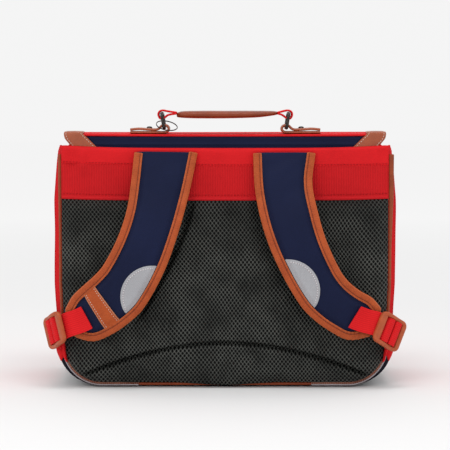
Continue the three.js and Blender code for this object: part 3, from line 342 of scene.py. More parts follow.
class Paint:
    """A node material: colour, roughness and bump are built up from small patterns."""

    def __init__(self, name, roughness=0.6, specular=0.35, sheen=0.0, metallic=0.0, coat=0.0):
        self.material = bpy.data.materials.new(name)
        self.material.use_nodes = True
        self.tree = self.material.node_tree
        self.shader = self.tree.nodes["Principled BSDF"]
        looks = {"Roughness": roughness, "Specular IOR Level": specular, "Sheen Weight": sheen,
                 "Sheen Roughness": 0.5, "Metallic": metallic, "Coat Weight": coat}
        for socket, value in looks.items():
            self.shader.inputs[socket].default_value = value
        self.place = self.node("ShaderNodeTexCoord")
        self.height = None

    def feed(self, socket, value):
        """Link another node's output, or set a number or a colour."""
        if isinstance(value, bpy.types.NodeSocket):
            self.tree.links.new(value, socket)
        elif socket.type == "RGBA":
            socket.default_value = (*value, 1.0)
        else:
            socket.default_value = value

    def node(self, kind, sockets=None, **settings):
        made = self.tree.nodes.new(kind)
        for key, value in settings.items():
            setattr(made, key, value)
        for key, value in (sockets or {}).items():
            self.feed(made.inputs[key], value)
        return made

    def lengths(self, space="Object"):
        """Coordinates in millimetres."""
        sockets = {"Vector": self.place.outputs[space], "Scale": (1000, 1000, 1000)}
        return self.node("ShaderNodeMapping", sockets).outputs[0]

    def split(self, vector):
        return self.node("ShaderNodeSeparateXYZ", {0: vector}).outputs

    def math(self, operation, *values, clamp=False):
        made = self.node("ShaderNodeMath", dict(enumerate(values)), operation=operation, use_clamp=clamp)
        return made.outputs[0]

    def times(self, a, b):
        return self.math("MULTIPLY", a, b)

    def sum(self, a, share_a, b, share_b, clamp=False):
        return self.math("ADD", self.times(a, share_a), self.times(b, share_b), clamp=clamp)

    def noise(self, vector, scale, detail=3.0, rough=0.5):
        sockets = {"Vector": vector, "Scale": scale, "Detail": detail, "Roughness": rough}
        return self.node("ShaderNodeTexNoise", sockets).outputs["Fac"]

    def wave(self, length, period):
        """0 to 1 ridges along a length."""
        angle = self.times(length, 2 * math.pi / period)
        return self.math("MULTIPLY_ADD", self.math("COSINE", angle), 0.5, 0.5)

    def ramp(self, factor, *stops):
        made = self.node("ShaderNodeValToRGB", {0: factor})
        for element, (place, colour) in zip(made.color_ramp.elements, stops):
            element.position = place
            element.color = (*colour, 1.0)
        return made.outputs["Color"]

    def near(self, length, place, start):
        """White along a line at a place, fading to black one millimetre from it."""
        away = self.math("ABSOLUTE", self.math("SUBTRACT", length, place))
        return self.ramp(away, (start, WHITE), (1.0, BLACK))

    def mix(self, factor, a, b, kind="MIX"):
        sockets = {"Factor": factor, 6: a, 7: b}
        return self.node("ShaderNodeMix", sockets, data_type="RGBA", blend_type=kind).outputs[2]

    def bump(self, height, strength, distance):
        made = self.node("ShaderNodeBump", {"Height": height, "Strength": strength, "Distance": distance})
        if self.height is not None:
            self.feed(made.inputs["Normal"], self.height)
        self.height = made.outputs["Normal"]

    def done(self, colour, roughness=None):
        for socket, value in (("Base Color", colour), ("Roughness", roughness), ("Normal", self.height)):
            if value is not None:
                self.feed(self.shader.inputs[socket], value)
        return self.material


def cloth_paint(name, dark, light, pitch, depth, roughness=0.65, sheen=0.1, specular=0.3):
    paint = Paint(name, roughness, specular, sheen)
    u, v, _ = paint.split(paint.lengths("UV"))
    where = paint.lengths()
    blotch, fine = paint.noise(where, 0.02, 4.0), paint.noise(where, 0.9, 2.0)
    crossed = paint.times(paint.wave(u, pitch), paint.wave(v, pitch * 2))
    weave = paint.sum(crossed, 1.0, paint.wave(v, pitch), 0.5)
    base = paint.ramp(paint.sum(blotch, 0.5, fine, 0.5), (0.3, dark), (0.72, light))
    paint.bump(weave, 0.5, depth)
    paint.bump(fine, 0.25, depth * 0.8)
    return paint.done(paint.mix(paint.times(weave, 0.16), base, light, "SCREEN"),
                      paint.math("MULTIPLY_ADD", fine, 0.2, roughness - 0.1))


def webbing_paint(name, dark, light, rib, thread, strength=0.7):
    """Ribs run along the webbing's length and fine threads cross them."""
    paint = Paint(name, 0.65, 0.14)
    u, v, _ = paint.split(paint.lengths("UV"))
    height = paint.sum(paint.wave(u, rib), 1.0, paint.wave(v, thread), 0.5)
    tone = paint.sum(paint.noise(paint.lengths(), 0.03, 4.0), 0.45, height, 0.36)
    paint.bump(height, strength, 0.0005)
    return paint.done(paint.ramp(tone, (0.25, dark), (0.75, light)))


def leather_paint(name, dark, light, roughness=0.48, grain=0.5, coat=0.0, specular=0.45):
    paint = Paint(name, roughness, specular, coat=coat)
    where = paint.lengths()
    pores = paint.node("ShaderNodeTexVoronoi", feature="DISTANCE_TO_EDGE")
    paint.feed(pores.inputs["Scale"], 0.85)
    paint.feed(pores.inputs["Vector"], where)
    cells = paint.math("MINIMUM", paint.times(pores.outputs["Distance"], 4.0), 1.0)
    blotch, fine = paint.noise(where, 0.05, 5.0, 0.6), paint.noise(where, 0.8, 3.0)
    base = paint.ramp(paint.sum(blotch, 0.65, fine, 0.35), (0.28, dark), (0.7, light))
    shaded = paint.mix(paint.times(paint.math("SUBTRACT", 1.0, cells), 0.35), base, dark)
    paint.bump(cells, grain, 0.00012)
    paint.bump(fine, grain * 0.6, 0.0002)
    return paint.done(shaded, paint.math("MULTIPLY_ADD", fine, 0.25, roughness - 0.12))


def binding_paint(name, dark, light, rim):
    """Bound edge: painted highlights along the rolled rims on both sides of a row of painted shade in the
    sewn groove, with fine gathers; rim is the highlight colour.
    """
    paint = Paint(name, 0.55, 0.2)
    where = paint.lengths()
    u, v, _ = paint.split(paint.lengths("UV"))
    blotch, fine = paint.noise(where, 0.08, 5.0, 0.6), paint.noise(where, 0.9, 3.0)
    base = paint.ramp(paint.sum(blotch, 0.5, fine, 0.5), (0.3, dark), (0.7, light))
    # Painted highlights along both rolled rims, and painted shade along the sewn groove
    inner_rim_highlight = paint.ramp(paint.times(u, 0.05), (0.0, WHITE), (0.10, BLACK))
    groove, outer_rim_highlight = paint.near(u, 3.9, 0.1), paint.near(u, 11.2, 0.2)
    highlighted = paint.mix(paint.sum(inner_rim_highlight, 0.7, outer_rim_highlight, 0.5, True), base, rim)
    paint.bump(paint.times(paint.wave(v, 2.1), fine), 0.5, 0.0005)
    paint.bump(fine, 0.4, 0.0002)
    return paint.done(paint.mix(paint.times(groove, 0.6), highlighted, dark, "MULTIPLY"))


def mesh_paint(name):
    """Spacer mesh: slanted threads cross and leave staggered dark holes; painted shade darkens it towards the
    top, under the band.
    """
    paint = Paint(name, 0.7, 0.12)
    where = paint.lengths()
    x, _, z = paint.split(where)
    drift = paint.times(paint.noise(where, 0.012, 1.0), 9.0)
    across, down = (paint.math("COSINE", paint.times(paint.math("ADD", length, drift), 2 * math.pi / period))
                    for length, period in ((x, 4.4), (z, 5.6)))
    depth = paint.times(paint.math("ABSOLUTE", paint.math("SUBTRACT", down, across)), 0.5)
    hole = paint.ramp(depth, (0.24, BLACK), (0.46, WHITE))
    thread = paint.noise(where, 1.4, 3.0)
    tone = paint.sum(thread, 0.5, paint.noise(where, 0.03, 3.0), 0.5)
    threads = paint.ramp(tone, (0.34, (0.022, 0.023, 0.021)), (0.66, (0.112, 0.116, 0.105)))
    # Painted shade: the threads grow darker towards the top of the pad, under the band
    shade = paint.ramp(paint.times(z, 0.0045), (0.70, WHITE), (0.92, (0.62, 0.62, 0.62)))
    paint.bump(paint.math("SUBTRACT", 1.0, depth), 0.9, 0.0013)
    paint.bump(thread, 0.4, 0.0004)
    return paint.done(paint.mix(hole, paint.mix(1.0, threads, shade, "MULTIPLY"), (0.0008, 0.0008, 0.0008)))


def metal_paint(name, dark, light, roughness):
    paint = Paint(name, roughness, 0.5, metallic=1.0)
    spots = paint.noise(paint.lengths(), 0.5, 3.0)
    paint.bump(spots, 0.2, 0.0001)
    return paint.done(paint.ramp(spots, (0.3, dark), (0.7, light)))


def plastic_paint(name, dark, light):
    paint = Paint(name, 0.42, 0.3)
    where = paint.lengths()
    fine = paint.noise(where, 2.2, 2.0)
    paint.bump(fine, 0.3, 0.00012)
    return paint.done(paint.ramp(paint.noise(where, 0.12, 4.0), (0.3, dark), (0.7, light)),
                      paint.math("MULTIPLY_ADD", fine, 0.15, 0.34))


def thread_paint(name, dark, light):
    return cloth_paint(name, dark, light, 0.6, 0.0001)


RED = cloth_paint("red_cloth", (0.50, 0.0070, 0.010), (0.70, 0.012, 0.016), 0.9, 0.00018,
                  0.7, 0.0, 0.12), "cloth_red"
RED_WEB = webbing_paint("red_webbing", (0.45, 0.005, 0.008), (0.64, 0.010, 0.014), 1.9, 1.3), "webbing_red"
RED_TAPE = webbing_paint("red_tape", (0.48, 0.006, 0.010), (0.60, 0.010, 0.015), 2.6, 1.5, 0.5), "webbing_red"
RED_BELT = webbing_paint("red_belt", (0.60, 0.008, 0.010), (0.74, 0.012, 0.016), 2.2, 1.3, 0.5), "webbing_red"
red_thread = cloth_paint("red_thread", (0.26, 0.004, 0.006), (0.36, 0.007, 0.010), 0.6, 0.0001, 0.7, 0.0, 0.1)
RED_THREAD, BAND_THREAD = (red_thread, "cloth_red"), (red_thread, "webbing_red")
NAVY = cloth_paint("navy_cloth", (0.0031, 0.0055, 0.0245), (0.0068, 0.0110, 0.0425), 1.0, 0.00016,
                   0.62, 0.02, 0.12), "cloth_navy"
NAVY_DARK = cloth_paint("navy_base", (0.003, 0.003, 0.008), (0.006, 0.006, 0.014), 1.0, 0.00016,
                        0.7, 0.0, 0.12), "cloth_navy"
MESH = mesh_paint("spacer_mesh"), "mesh_grey"
TAN = leather_paint("tan_leather", (0.32, 0.052, 0.010), (0.54, 0.102, 0.022),
                    0.55, 0.5, 0.0, 0.2), "leather_tan"
# The third colour is the painted highlight on the binding's rolled rims
BOUND = binding_paint("bound_edge", (0.28, 0.044, 0.010), (0.50, 0.096, 0.023),
                      (0.66, 0.185, 0.062)), "leather_tan"
TAN_PALE = leather_paint("pale_leather", (0.26, 0.052, 0.014), (0.42, 0.090, 0.026),
                         0.34, 0.6, 0.25, 0.4), "leather_tan"
TAN_EDGE = leather_paint("edge_leather", (0.38, 0.12, 0.05), (0.52, 0.20, 0.10), 0.5, 0.4), "leather_tan"
PIPE = leather_paint("piping_leather", (0.20, 0.034, 0.010), (0.37, 0.070, 0.020),
                     0.45, 0.5, 0.0, 0.25), "leather_tan"
# The gathered leather is banded pale and dark at the spacing of its gathers and grows darker round the cord:
# painted highlights on the ridges and painted shade in the folds
PIPE_PALE = webbing_paint("gathered_leather", (0.13, 0.036, 0.020), (0.52, 0.24, 0.17),
                          30.0, 2.4, 0.9), "leather_tan"
GRIP = leather_paint("grip_leather", (0.16, 0.024, 0.006), (0.30, 0.054, 0.014),
                     0.36, 0.5, 0.2, 0.22), "leather_dark"
PLASTIC = plastic_paint("tan_plastic", (0.36, 0.068, 0.020), (0.47, 0.098, 0.031)), "plastic_tan"
METAL = metal_paint("gunmetal", (0.022, 0.020, 0.020), (0.075, 0.068, 0.062), 0.28), "gunmetal"
BRIGHT = cloth_paint("reflective_film", (0.30, 0.30, 0.32), (0.40, 0.40, 0.42), 1.1, 0.00006,
                     0.45, 0.0, 0.4), "reflective_grey"
WHITE_THREAD = thread_paint("pale_thread", (0.44, 0.34, 0.28), (0.66, 0.56, 0.50)), "leather_tan"
SILVER_THREAD = thread_paint("silver_thread", (0.55, 0.55, 0.57), (0.78, 0.78, 0.80)), "reflective_grey"
BROWN_THREAD = thread_paint("brown_thread", (0.080, 0.017, 0.006), (0.150, 0.032, 0.011)), "leather_tan"
grey_cord = cloth_paint("reflective_cord", (0.26, 0.22, 0.23), (0.42, 0.36, 0.38), 0.8, 0.0001, 0.4, 0.0, 0.5)
CORD, GROOVE = (grey_cord, "leather_tan"), (grey_cord, "reflective_grey")


# Body: seam line, side walls, base and boards

SIDE_PROUD, SIDE_SWELL, SWELL_RISE = 0.6, 7.9, 60.0
COLOUR_LINE, COLOUR_DROP = 42.0, 11.0
BOARD, BOARD_INSET = 4.0, 2.1
HEM_IN = 7.0
ACROSS = spans((0, 0.1, 14), (0.1, 0.9, 40), (0.9, 1, 14))


def seam_half(z):
    return BODY_HALF - BODY_TAPER * (1 - clip01((z - ARC_START) / TAPER_RISE))


def inner_half(z, inset):
    """Half the width at a height, inside the seam line."""
    radius = CORNER - inset
    drop = np.clip(ARC_START - z, 0, radius)
    return np.where(z >= ARC_START, seam_half(z) - inset, ARC_MIDDLE + np.sqrt(radius ** 2 - drop ** 2))


def seam_point(stretch):
    """x, z and the outward direction on the right half of the seam: side 0 to 1, corner to 2, bottom to 3."""
    s = np.asarray(stretch, float)
    side_z = lerp(SIDE_TOP, ARC_START, clip01(s))
    turn = clip01(s - 1) * math.pi / 2
    x = np.where(s <= 1, seam_half(side_z), ARC_MIDDLE + CORNER * np.cos(turn))
    z = np.where(s <= 1, side_z, ARC_START - CORNER * np.sin(turn))
    x = np.where(s > 2, ARC_MIDDLE * (1 - clip01(s - 2)), x)
    return np.array([x, z, np.where(s <= 1, 1.0, np.cos(turn)), np.where(s <= 1, 0.0, -np.sin(turn))])


def on_seam(side, seam, out, y):
    x, z, nx, nz = seam
    return stacked(side * (x + nx * out), y, z + nz * out)


def top_edge(x):
    return BODY_HEIGHT + TOP_LIFT * (np.abs(x) / BODY_HALF) ** 4


def gusset(side, stretch, across, depth):
    """The bulging wall between the two seams, by stretch of the seam and share of the way across."""
    seam = seam_point(stretch)
    rise = np.sqrt(clip01((SIDE_TOP - seam[1]) / SWELL_RISE))
    roll = ease(np.minimum(across, 1 - across) / 0.045)
    full = 0.85 * roll + 0.15 * np.sin(math.pi * clip01(across))
    soft = 0.7 * waves(seam[1], across * 142, 5 + side, 26) * roll * rise
    swell = SIDE_PROUD + SIDE_SWELL * rise * full + soft
    floor = SIDE_PROUD + (SEAM_BOTTOM - SIDE_PROUD) * roll
    out = lerp(swell, floor, ease((stretch - 1.2) / 0.75)) - depth
    points = on_seam(side, seam, out, lerp(BACK_Y + 4.3, FRONT_Y - 4.1, across))
    points[..., 2] -= 3.0 * np.sin(math.pi * across) * clip01(1 - stretch * 12)
    return points


def split_stretch(across):
    """Where the red side ends and the navy base begins, lower near the seams."""
    z = COLOUR_LINE - COLOUR_DROP * ease(np.minimum(across, 1 - across) / 0.1)
    return 1 + np.arcsin((ARC_START - z) / CORNER) / (math.pi / 2)


def side_wall(label, side):
    rows = spans((0, 0.06, 7), (0.06, 1, 70))[:, None] * split_stretch(ACROSS)
    wall(f"side_cloth_{label}", gusset(side, rows, ACROSS, 0), gusset(side, rows, ACROSS, CLOTH), RED,
         f"side_panel_{label}")
    run = np.linspace(0.02, 1.1, 120)
    _, _, nx, nz = seam_point(run)
    for k, across in enumerate((0.035, 0.965)):
        line = gusset(side, run, across, 0)
        stitches(f"side_seam_{label}_{k + 1}", line, stacked(side * nx, 0, nz), RED_THREAD)
    hem = gusset(side, 0.022, np.linspace(0.04, 0.96, 80), 0)
    stitches(f"side_hem_{label}", hem, (side, 0, 0), RED_THREAD)


def board_grid(y):
    """A grid that fills the seam line: rows run up, columns across."""
    share = spans((0, 0.25, 26), (0.25, 1, 50))[:, None]
    low = SEAM_BOTTOM + BOARD_INSET
    x = np.linspace(-1, 1, 81) * inner_half(lerp(low, BODY_HEIGHT, share), BOARD_INSET)
    return stacked(x, y, lerp(low, top_edge(x) - 1.2, share))


for label, side in SIDES.items():
    side_wall(label, side)

seam_gap = GAP / (CORNER * math.pi / 2)
corner_rows = lerp(split_stretch(ACROSS) + seam_gap, 2.0, np.linspace(0, 1, 20)[:, None])
base_rows = np.vstack([corner_rows, np.linspace(2, 2.97, 30)[1:, None] + 0 * ACROSS])
base_grids = [np.concatenate([gusset(-1, base_rows, ACROSS, depth), gusset(1, 3.0, ACROSS, depth)[None],
                              gusset(1, base_rows, ACROSS, depth)[::-1]]) for depth in (0, CLOTH)]
wall("base_cloth", *base_grids, NAVY_DARK, "base_panel")

back = board_grid(BACK_Y)
wall("back_board", back, at_y(back, BACK_Y + BOARD), RED, "back_panel")
front = board_grid(FRONT_Y)
swell = np.minimum(1, np.minimum(BODY_HALF + 0.5 - np.abs(front[..., 0]), front[..., 2]) / 40)
front[..., 1] += 0.8 * swell * waves(front[..., 0], front[..., 2], 9, 60) - 0.5
wall("front_board", front, board_grid(FRONT_Y - BOARD + 0.2), RED, "front_panel")
run = np.linspace(0.05, 3, 160)
hems = [on_seam(side, seam_point(run), -HEM_IN, FRONT_Y + 0.2) for side in (1, -1)]
stitches("front_seam", np.vstack([hems[0], hems[1][::-1]]), (0, 1, 0), RED_THREAD)


# Piping cords on the two seams, gathered where they turn the bottom corners

PIPING, GATHER = 1.8, 2.1
# Columns: stretch of the seam, extra width as a share
PIPING_WIDTHS = {
    -1: [(0, 0.15), (0.25, 0.1), (0.5, -0.05), (1, -0.05)],
    1: [(0, 0.75), (0.25, 0.7), (0.5, 0.15), (1, 0)],
}
run = spans((0.045, 1, 130), (1, 2, 150), (2, 3, 120))
seam = seam_point(run)
length = distances(seam[:2].T)
c, s = oval(14)
for name, y, out_y in (("back", BACK_Y + 2, -1), ("front", FRONT_Y - 2, 1)):
    halves = []
    for side in (-1, 1):
        stretch, extra = np.transpose(PIPING_WIDTHS[side])
        wide = PIPING * np.maximum(0, np.interp(np.minimum(run, 1), stretch, extra))[:, None]
        ribbed = ease((run - 1.25) / 0.3) * ease((2.32 - run) / 0.1)
        ribs = (1 + 0.16 * ribbed * np.sin(length * 2 * math.pi / 3.1))[:, None]
        out = (PIPING + wide) * ribs * c + wide
        halves.append(on_seam(side, seam[..., None], out, y + PIPING * ribs * s))
    loft(f"seam_cord_{name}", np.concatenate([halves[0], halves[1][-2::-1]]), PIPE, f"piping_{name}")
    for label, side in SIDES.items():
        folds = GATHER * (1 + 0.16 * np.sin(length * 2 * math.pi / 2.4))[:, None]
        gather = on_seam(side, seam[..., None], folds * c - 1.1, y + out_y * 0.6 + folds * s)
        loft(f"seam_gather_{name}_{label}", gather[(run > 1.28) & (run < 2.3)], PIPE_PALE)
        if name == "back":
            light = on_seam(side, seam, 1.1, y + out_y * 1.9)[(run > 1.12) & (run < 2.3)]
            tube(f"seam_light_{label}", evenly(light, 1.5), (0, 1, 0), 0.85, 8, CORD)


# Smooth facing with its thin lip, and the ribbed band

STRAP_TOP_X, STRAP_HALF = 65.6, 39.0
FACE_Y, BAND_LOW, FACE_LOW, FACE_TILT = BACK_Y - 2.3, 211.0, 249.5, 2.2
# Columns: how far it swells, height from the top edge. Below the knot the rows follow the slanting seam
FACE_ROWS = [
    (0, -16.8), (0.2, -15), (0.35, -12), (0.45, -9.5), (0.45, -7), (0.4, -5), (0.2, -3), (-0.3, -1.6),
    (-1.2, -0.8), (-2.4, -0.5), (-3.8, -0.6), (-5.0, -0.9),
]
FACE_KNOT, FACE_DEEP = -9.5, 7.3

columns = np.linspace(-1, 1, 261) * (BODY_HALF - 2.7)
over_strap = ease((STRAP_HALF - np.abs(np.abs(columns) - STRAP_TOP_X)) / 5)
pinch = bell(columns + 171, 4.5)
pinch = pinch * 1.1 - np.roll(pinch, 9) * 0.9
dent = bell(columns - 176, 6)
lift = top_edge(columns) - BODY_HEIGHT
face_seam = FACE_LOW + FACE_TILT * clip01(-columns / 170)

swell, rise = np.transpose(FACE_ROWS)[..., None]
soft = np.maximum(swell, 0) * (1 - over_strap * (rise > -12)) * (1 + 1.2 * waves(columns, rise * 3, 31, 26))
crease = 1.7 * bell(rise + 8, 9) * (pinch + dent * 1.3)
below = np.minimum(rise - FACE_KNOT, 0) / FACE_DEEP * (BODY_HEIGHT + FACE_KNOT - face_seam)
face_z = BODY_HEIGHT + np.maximum(rise, FACE_KNOT) + below + lift * (0.4 + 0.6 * ease((rise + 17) / 17))
outer = stacked(columns, FACE_Y - np.minimum(swell, 0) - soft + crease, face_z)
inner = at_y(outer, np.minimum(outer[..., 1] + 1.9, BACK_Y - 0.2))
inner[-4:, :, 1] = outer[-4:, :, 1]
inner[-5:, :, 2] -= 1.0
fine_rows = np.linspace(0, len(FACE_ROWS) - 1, 49)
wall("top_facing_cloth", refined(outer, fine_rows), refined(inner, fine_rows), RED, "top_facing", "top_lip")
stitches("facing_seam", stacked(columns, FACE_Y - 0.45, face_seam + 1.3 + 0.4 * lift), (0, -1, 0), RED_THREAD,
         pitch=3.6, length=2.6)

rows = np.linspace(0, 1, 44)[:, None]
low_z = BAND_LOW + 0.6 * lift
z = lerp(low_z, face_seam - 0.5 + 0.4 * lift, rows)
sway = 0.45 * waves(columns * 1.6, z * 0.5, 12, 30)
fold = 1.5 * pinch * ease((rows - 0.55) / 0.45)
band = stacked(columns, FACE_Y - (0.35 + sway) * np.sin(math.pi * rows) + fold, z)
wall("back_band", band, at_y(band, BACK_Y - GAP), RED_WEB, "back_webbing")
edge = stacked(columns, FACE_Y - 0.2, low_z + 2.0)
ribbon("band_selvedge", evenly(edge, 2.5), (0, 0, 1), 4.0, 0.9, RED_TAPE)
stitches("band_seam", stacked(columns, FACE_Y - 0.5, low_z + 6.2), (0, -1, 0), BAND_THREAD,
         pitch=3.6, length=2.6)


# Mesh pad with two spreading creases and a bottom arch

PAD_INSET, PAD_BASE, PAD_THICK, PAD_ROLL = 2.2, 2.0, 9.0, 14.0
PAD_LOW = SEAM_BOTTOM + PAD_INSET
CREASE_TOP, CREASE_SPREAD = 36.0, 47.0
ARCH_TOP, ARCH_DROP, ARCH_REACH = 51.0, 35.0, 156.0


def crease_at(z):
    return CREASE_TOP + CREASE_SPREAD * np.power(np.clip((BAND_LOW - z) / 109, 0, 1.4), 1.35)


def arch_at(x):
    return ARCH_TOP - ARCH_DROP * np.power(np.abs(x) / ARCH_REACH, 1.9)


def pad_top(x):
    return BAND_LOW + 0.6 * (top_edge(x) - BODY_HEIGHT) - GAP


def pad_height(x, z):
    inside = np.minimum(np.minimum(inner_half(z, PAD_INSET) - np.abs(x), z - PAD_LOW), pad_top(x) - z)
    roll = np.sqrt(ease(inside / PAD_ROLL) + 1e-9)
    distance, near = np.abs(x) - crease_at(z), z - arch_at(x)
    depth = np.where(x < 0, 8.3, 5.2) * ease((z - 66) / 30)
    creases = depth * bell(distance * 0.85, np.where(x < 0, 2.5, 8.5)) + 2.2 * bell(distance, 15)
    creases = creases * ease(near / 7)
    fade = ease((inside + 4) / 16)
    arch = (7.4 * bell(near, 2.0) + 1.6 * bell(near, 10)) * fade
    rim = 1.6 * bell(near + 5.5, 3.5) * fade
    soft = 0.55 * waves(x, z, 77, 38) + 0.25 * waves(x * 1.2, z, 78, 13)
    dip = 3.4 * bell(x - 8, 30) * bell(z - 190, 15)
    swell = 0.6 * bell(z - 204, 6)
    return PAD_BASE + (PAD_THICK - np.maximum(creases, arch) + rim + soft - dip + swell) * roll


def bent(share, bend, low, knot, high):
    """Straight from low to knot, and from the bend on straight to high."""
    upper = lerp(knot, high, (share - bend) / (1 - bend))
    return np.where(share < bend, lerp(low, knot, share / bend), upper)


rise = spans((0, 0.06, 14), (0.06, 0.30, 84), (0.30, 0.93, 76), (0.93, 1, 16))[:, None]
out = spans((0, 0.26, 26), (0.26, 0.38, 30), (0.38, 0.9, 48), (0.9, 1, 22))
out = np.concatenate([-out[::-1], out[1:]])
x, z = 0 * rise * out, lerp(PAD_LOW, BAND_LOW, rise) + 0 * out
for _ in range(12):
    x = np.sign(out) * bent(np.abs(out), 7 / 22, 0, crease_at(z), inner_half(z, PAD_INSET))
    z = bent(rise, 0.19, PAD_LOW, np.maximum(arch_at(x), PAD_LOW + 8), pad_top(x))
sag = 3 * ease(1 - np.abs(x) / 62) * ease((0.12 - rise) / 0.12)
pad = stacked(x, BACK_Y - GAP - pad_height(x, z), z - sag)
wall("back_pad", pad, at_y(pad, BACK_Y - GAP), MESH, "mesh_pad")


# Lid: rear strip, top with its front flap, leather corners

LID_HALF, LID_CROWN, LID_EDGE, BEND = 178.5, 1.2, 0.8, 14.0
LID_UNDER = BODY_HEIGHT + 15.5 - CLOTH
STRIP_Y = BACK_Y + BOARD + 1.8 + 2 * GAP + 0.5
LID_REAR_Y = STRIP_Y - 0.5
FLAP_Y, FLAP_LOW, FLAP_CORNER = FRONT_Y + 1.2 + CLOTH, 95.0, 36.0
CORNER_LEATHER, CORNER_WIDE = 1.8, 20.0

z = np.linspace(BODY_HEIGHT - 13, LID_UNDER - GAP, 26)[:, None]
x = (LID_HALF - 1 - (LID_UNDER - np.maximum(z, BODY_HEIGHT))) * np.linspace(-1, 1, 181)
tucks = 0.5 * (bell(z - 273.6, 1.0) + bell(z - 280.2, 0.9))
strip = stacked(x, STRIP_Y - tucks + 0.25 * waves(x, z, 41, 40), z)
wall("lid_rear_cloth", strip, at_y(strip, STRIP_Y + CLOTH), NAVY, "lid_rear")


def lid_top_z(x, y):
    share = clip01((y - LID_REAR_Y) / (FLAP_Y - LID_REAR_Y))
    return (LID_UNDER + CLOTH + LID_CROWN * np.sin(math.pi * share)
            + LID_EDGE * (np.abs(x) / LID_HALF) ** 2 * (1 - share))


def lid_grid(depth):
    """From the rear edge over the bend and down the flap with its round corners."""
    x = np.linspace(-1, 1, 121) * LID_HALF
    y = lerp(LID_REAR_Y, FLAP_Y - BEND, np.linspace(0, 1, 40)[:, None])
    top = stacked(x, y, lid_top_z(x, y) - depth)
    angle = np.linspace(0, math.pi / 2, 12)[1:, None]
    y = FLAP_Y - BEND * (1 - np.sin(angle))
    z = lid_top_z(x, y) - BEND * (1 - np.cos(angle))
    bend = stacked(x, y - depth * np.sin(angle), z - depth * np.cos(angle))
    share = np.concatenate([np.linspace(0, 0.76, 24)[1:], 0.76 + 0.24 * quarter(26)[1:]])[:, None]
    z = lerp(LID_UNDER + CLOTH - BEND, FLAP_LOW, share)
    corner = clip01((FLAP_LOW + FLAP_CORNER - z) / FLAP_CORNER)
    wide = 1 - FLAP_CORNER * (1 - np.sqrt(1 - corner ** 2)) / LID_HALF
    grid = np.concatenate([top, bend, stacked(x * wide, FLAP_Y - depth, z)])
    bulge = 0.5 * waves(grid[..., 0], grid[..., 1] + grid[..., 2], 51, 70)
    grid[40:, :, 1] += bulge[40:] * 0.5
    grid[:40, :, 2] += bulge[:40] * ease(np.linspace(0, 6, 40))[:, None] * 0.6
    return grid


wall("lid_cloth", lid_grid(0), lid_grid(CLOTH), RED, "lid")

corner_y, corner_low = LID_REAR_Y - GAP, BODY_HEIGHT + TOP_LIFT + 1.2
fold_z = LID_UNDER + CLOTH + LID_EDGE + GAP
# Columns: y, z or None on the lid, quarter turns from upright to flat, lean of the inner and the outer edge
CORNER_PATH = [
    (corner_y, corner_low - 5.4, 0, 17.3, 10), (corner_y, corner_low, 0, 12, 6),
    (corner_y, lerp(corner_low, fold_z, 0.5), 0, 6, 1.2), (corner_y, fold_z - 1.4, 0, 1, 0),
    (corner_y + 0.2, fold_z - 0.3, 0.4, 0, 0), (corner_y + 1.3, fold_z + 0.25, 0.85, 0, 0),
    (corner_y + 3, fold_z + 0.3, 1, 0, 0), (corner_y + 12, None, 1, 0, 0), (corner_y + 24, None, 1, 0, 0),
]


def corner_sheet(side, depth):
    share = np.linspace(0, 1, 25)
    thick = depth + 0.35 * np.sin(math.pi * share) * (depth > 0)
    rows = []
    for y, z, turn, inner_lean, outer_lean in CORNER_PATH:
        x = LID_HALF + 1 - lerp(outer_lean, CORNER_WIDE + inner_lean, share)
        base = lid_top_z(x, y) + GAP + 0.15 if z is None else z
        angle = turn * math.pi / 2
        rows.append(stacked(side * x, y - thick * math.cos(angle), base + thick * math.sin(angle)))
    return refined(np.array(rows), np.linspace(0, len(rows) - 1, 50))


for label, side in SIDES.items():
    face = corner_sheet(side, CORNER_LEATHER)
    wall(f"lid_corner_{label}_leather", face, corner_sheet(side, 0), TAN_PALE, f"lid_corner_{label}")
    for k, column in enumerate((2, 22)):
        line = evenly(face[1:-1, column], 0.8)
        normal = np.cross(np.gradient(line, axis=0), (side, 0, 0))
        normal *= np.sign(normal[:, 2:] - normal[:, 1:2])
        stitches(f"lid_corner_{label}_stitch_{k + 1}", line, normal, WHITE_THREAD,
                 pitch=2.9, length=2.1, radius=0.33)


# Closures on the hidden front

CLASP_TOP = FLAP_LOW - GAP - 2
CLASP_LOW = CLASP_TOP - 26
CLASP_HALF, CLASP_ROUND, CLASP_SPOT = 18.0, 0.6, 92.0
TONGUE_HALF, TONGUE_THICK, TONGUE_BEND = 14.0, 2.0, 136.0
tongue_y = FLAP_Y + GAP
clasp_back, pocket = FRONT_Y + GAP + 0.4, tongue_y + TONGUE_THICK + GAP
CLASP_SECTION = np.array([
    (clasp_back, CLASP_LOW), (pocket + 1.8, CLASP_LOW), (pocket + 1.8, CLASP_LOW + 18.2),
    (pocket + 0.2, CLASP_LOW + 18.2), (pocket + 0.2, CLASP_LOW + 5.4), (FLAP_Y, CLASP_LOW + 5),
    (FLAP_Y, CLASP_TOP), (clasp_back, CLASP_TOP),
])


def closure_tab(label, middle):
    z = np.concatenate([np.linspace(CLASP_LOW + 6, TONGUE_BEND, 40),
                        TONGUE_BEND + TONGUE_HALF * quarter(16)[1:]])
    half = np.sqrt(np.maximum(TONGUE_HALF ** 2 - np.maximum(z - TONGUE_BEND, 0) ** 2, 0.3))[:, None]
    share = np.linspace(-1, 1, 21)
    face = stacked(middle + half * share, tongue_y + TONGUE_THICK + 0.3 * (1 - share ** 2), z[:, None])
    wall(f"closure_{label}_leather", face, at_y(face, tongue_y), TAN, f"closure_tab_{label}")
    rim = np.concatenate([face[2:, 1], face[-2, 3:-3], face[2:, -2][::-1]])
    stitches(f"closure_{label}_stitch", evenly(rim[1:-1] + (0, 0.1, 0), 1.0), (0, 1, 0), WHITE_THREAD)


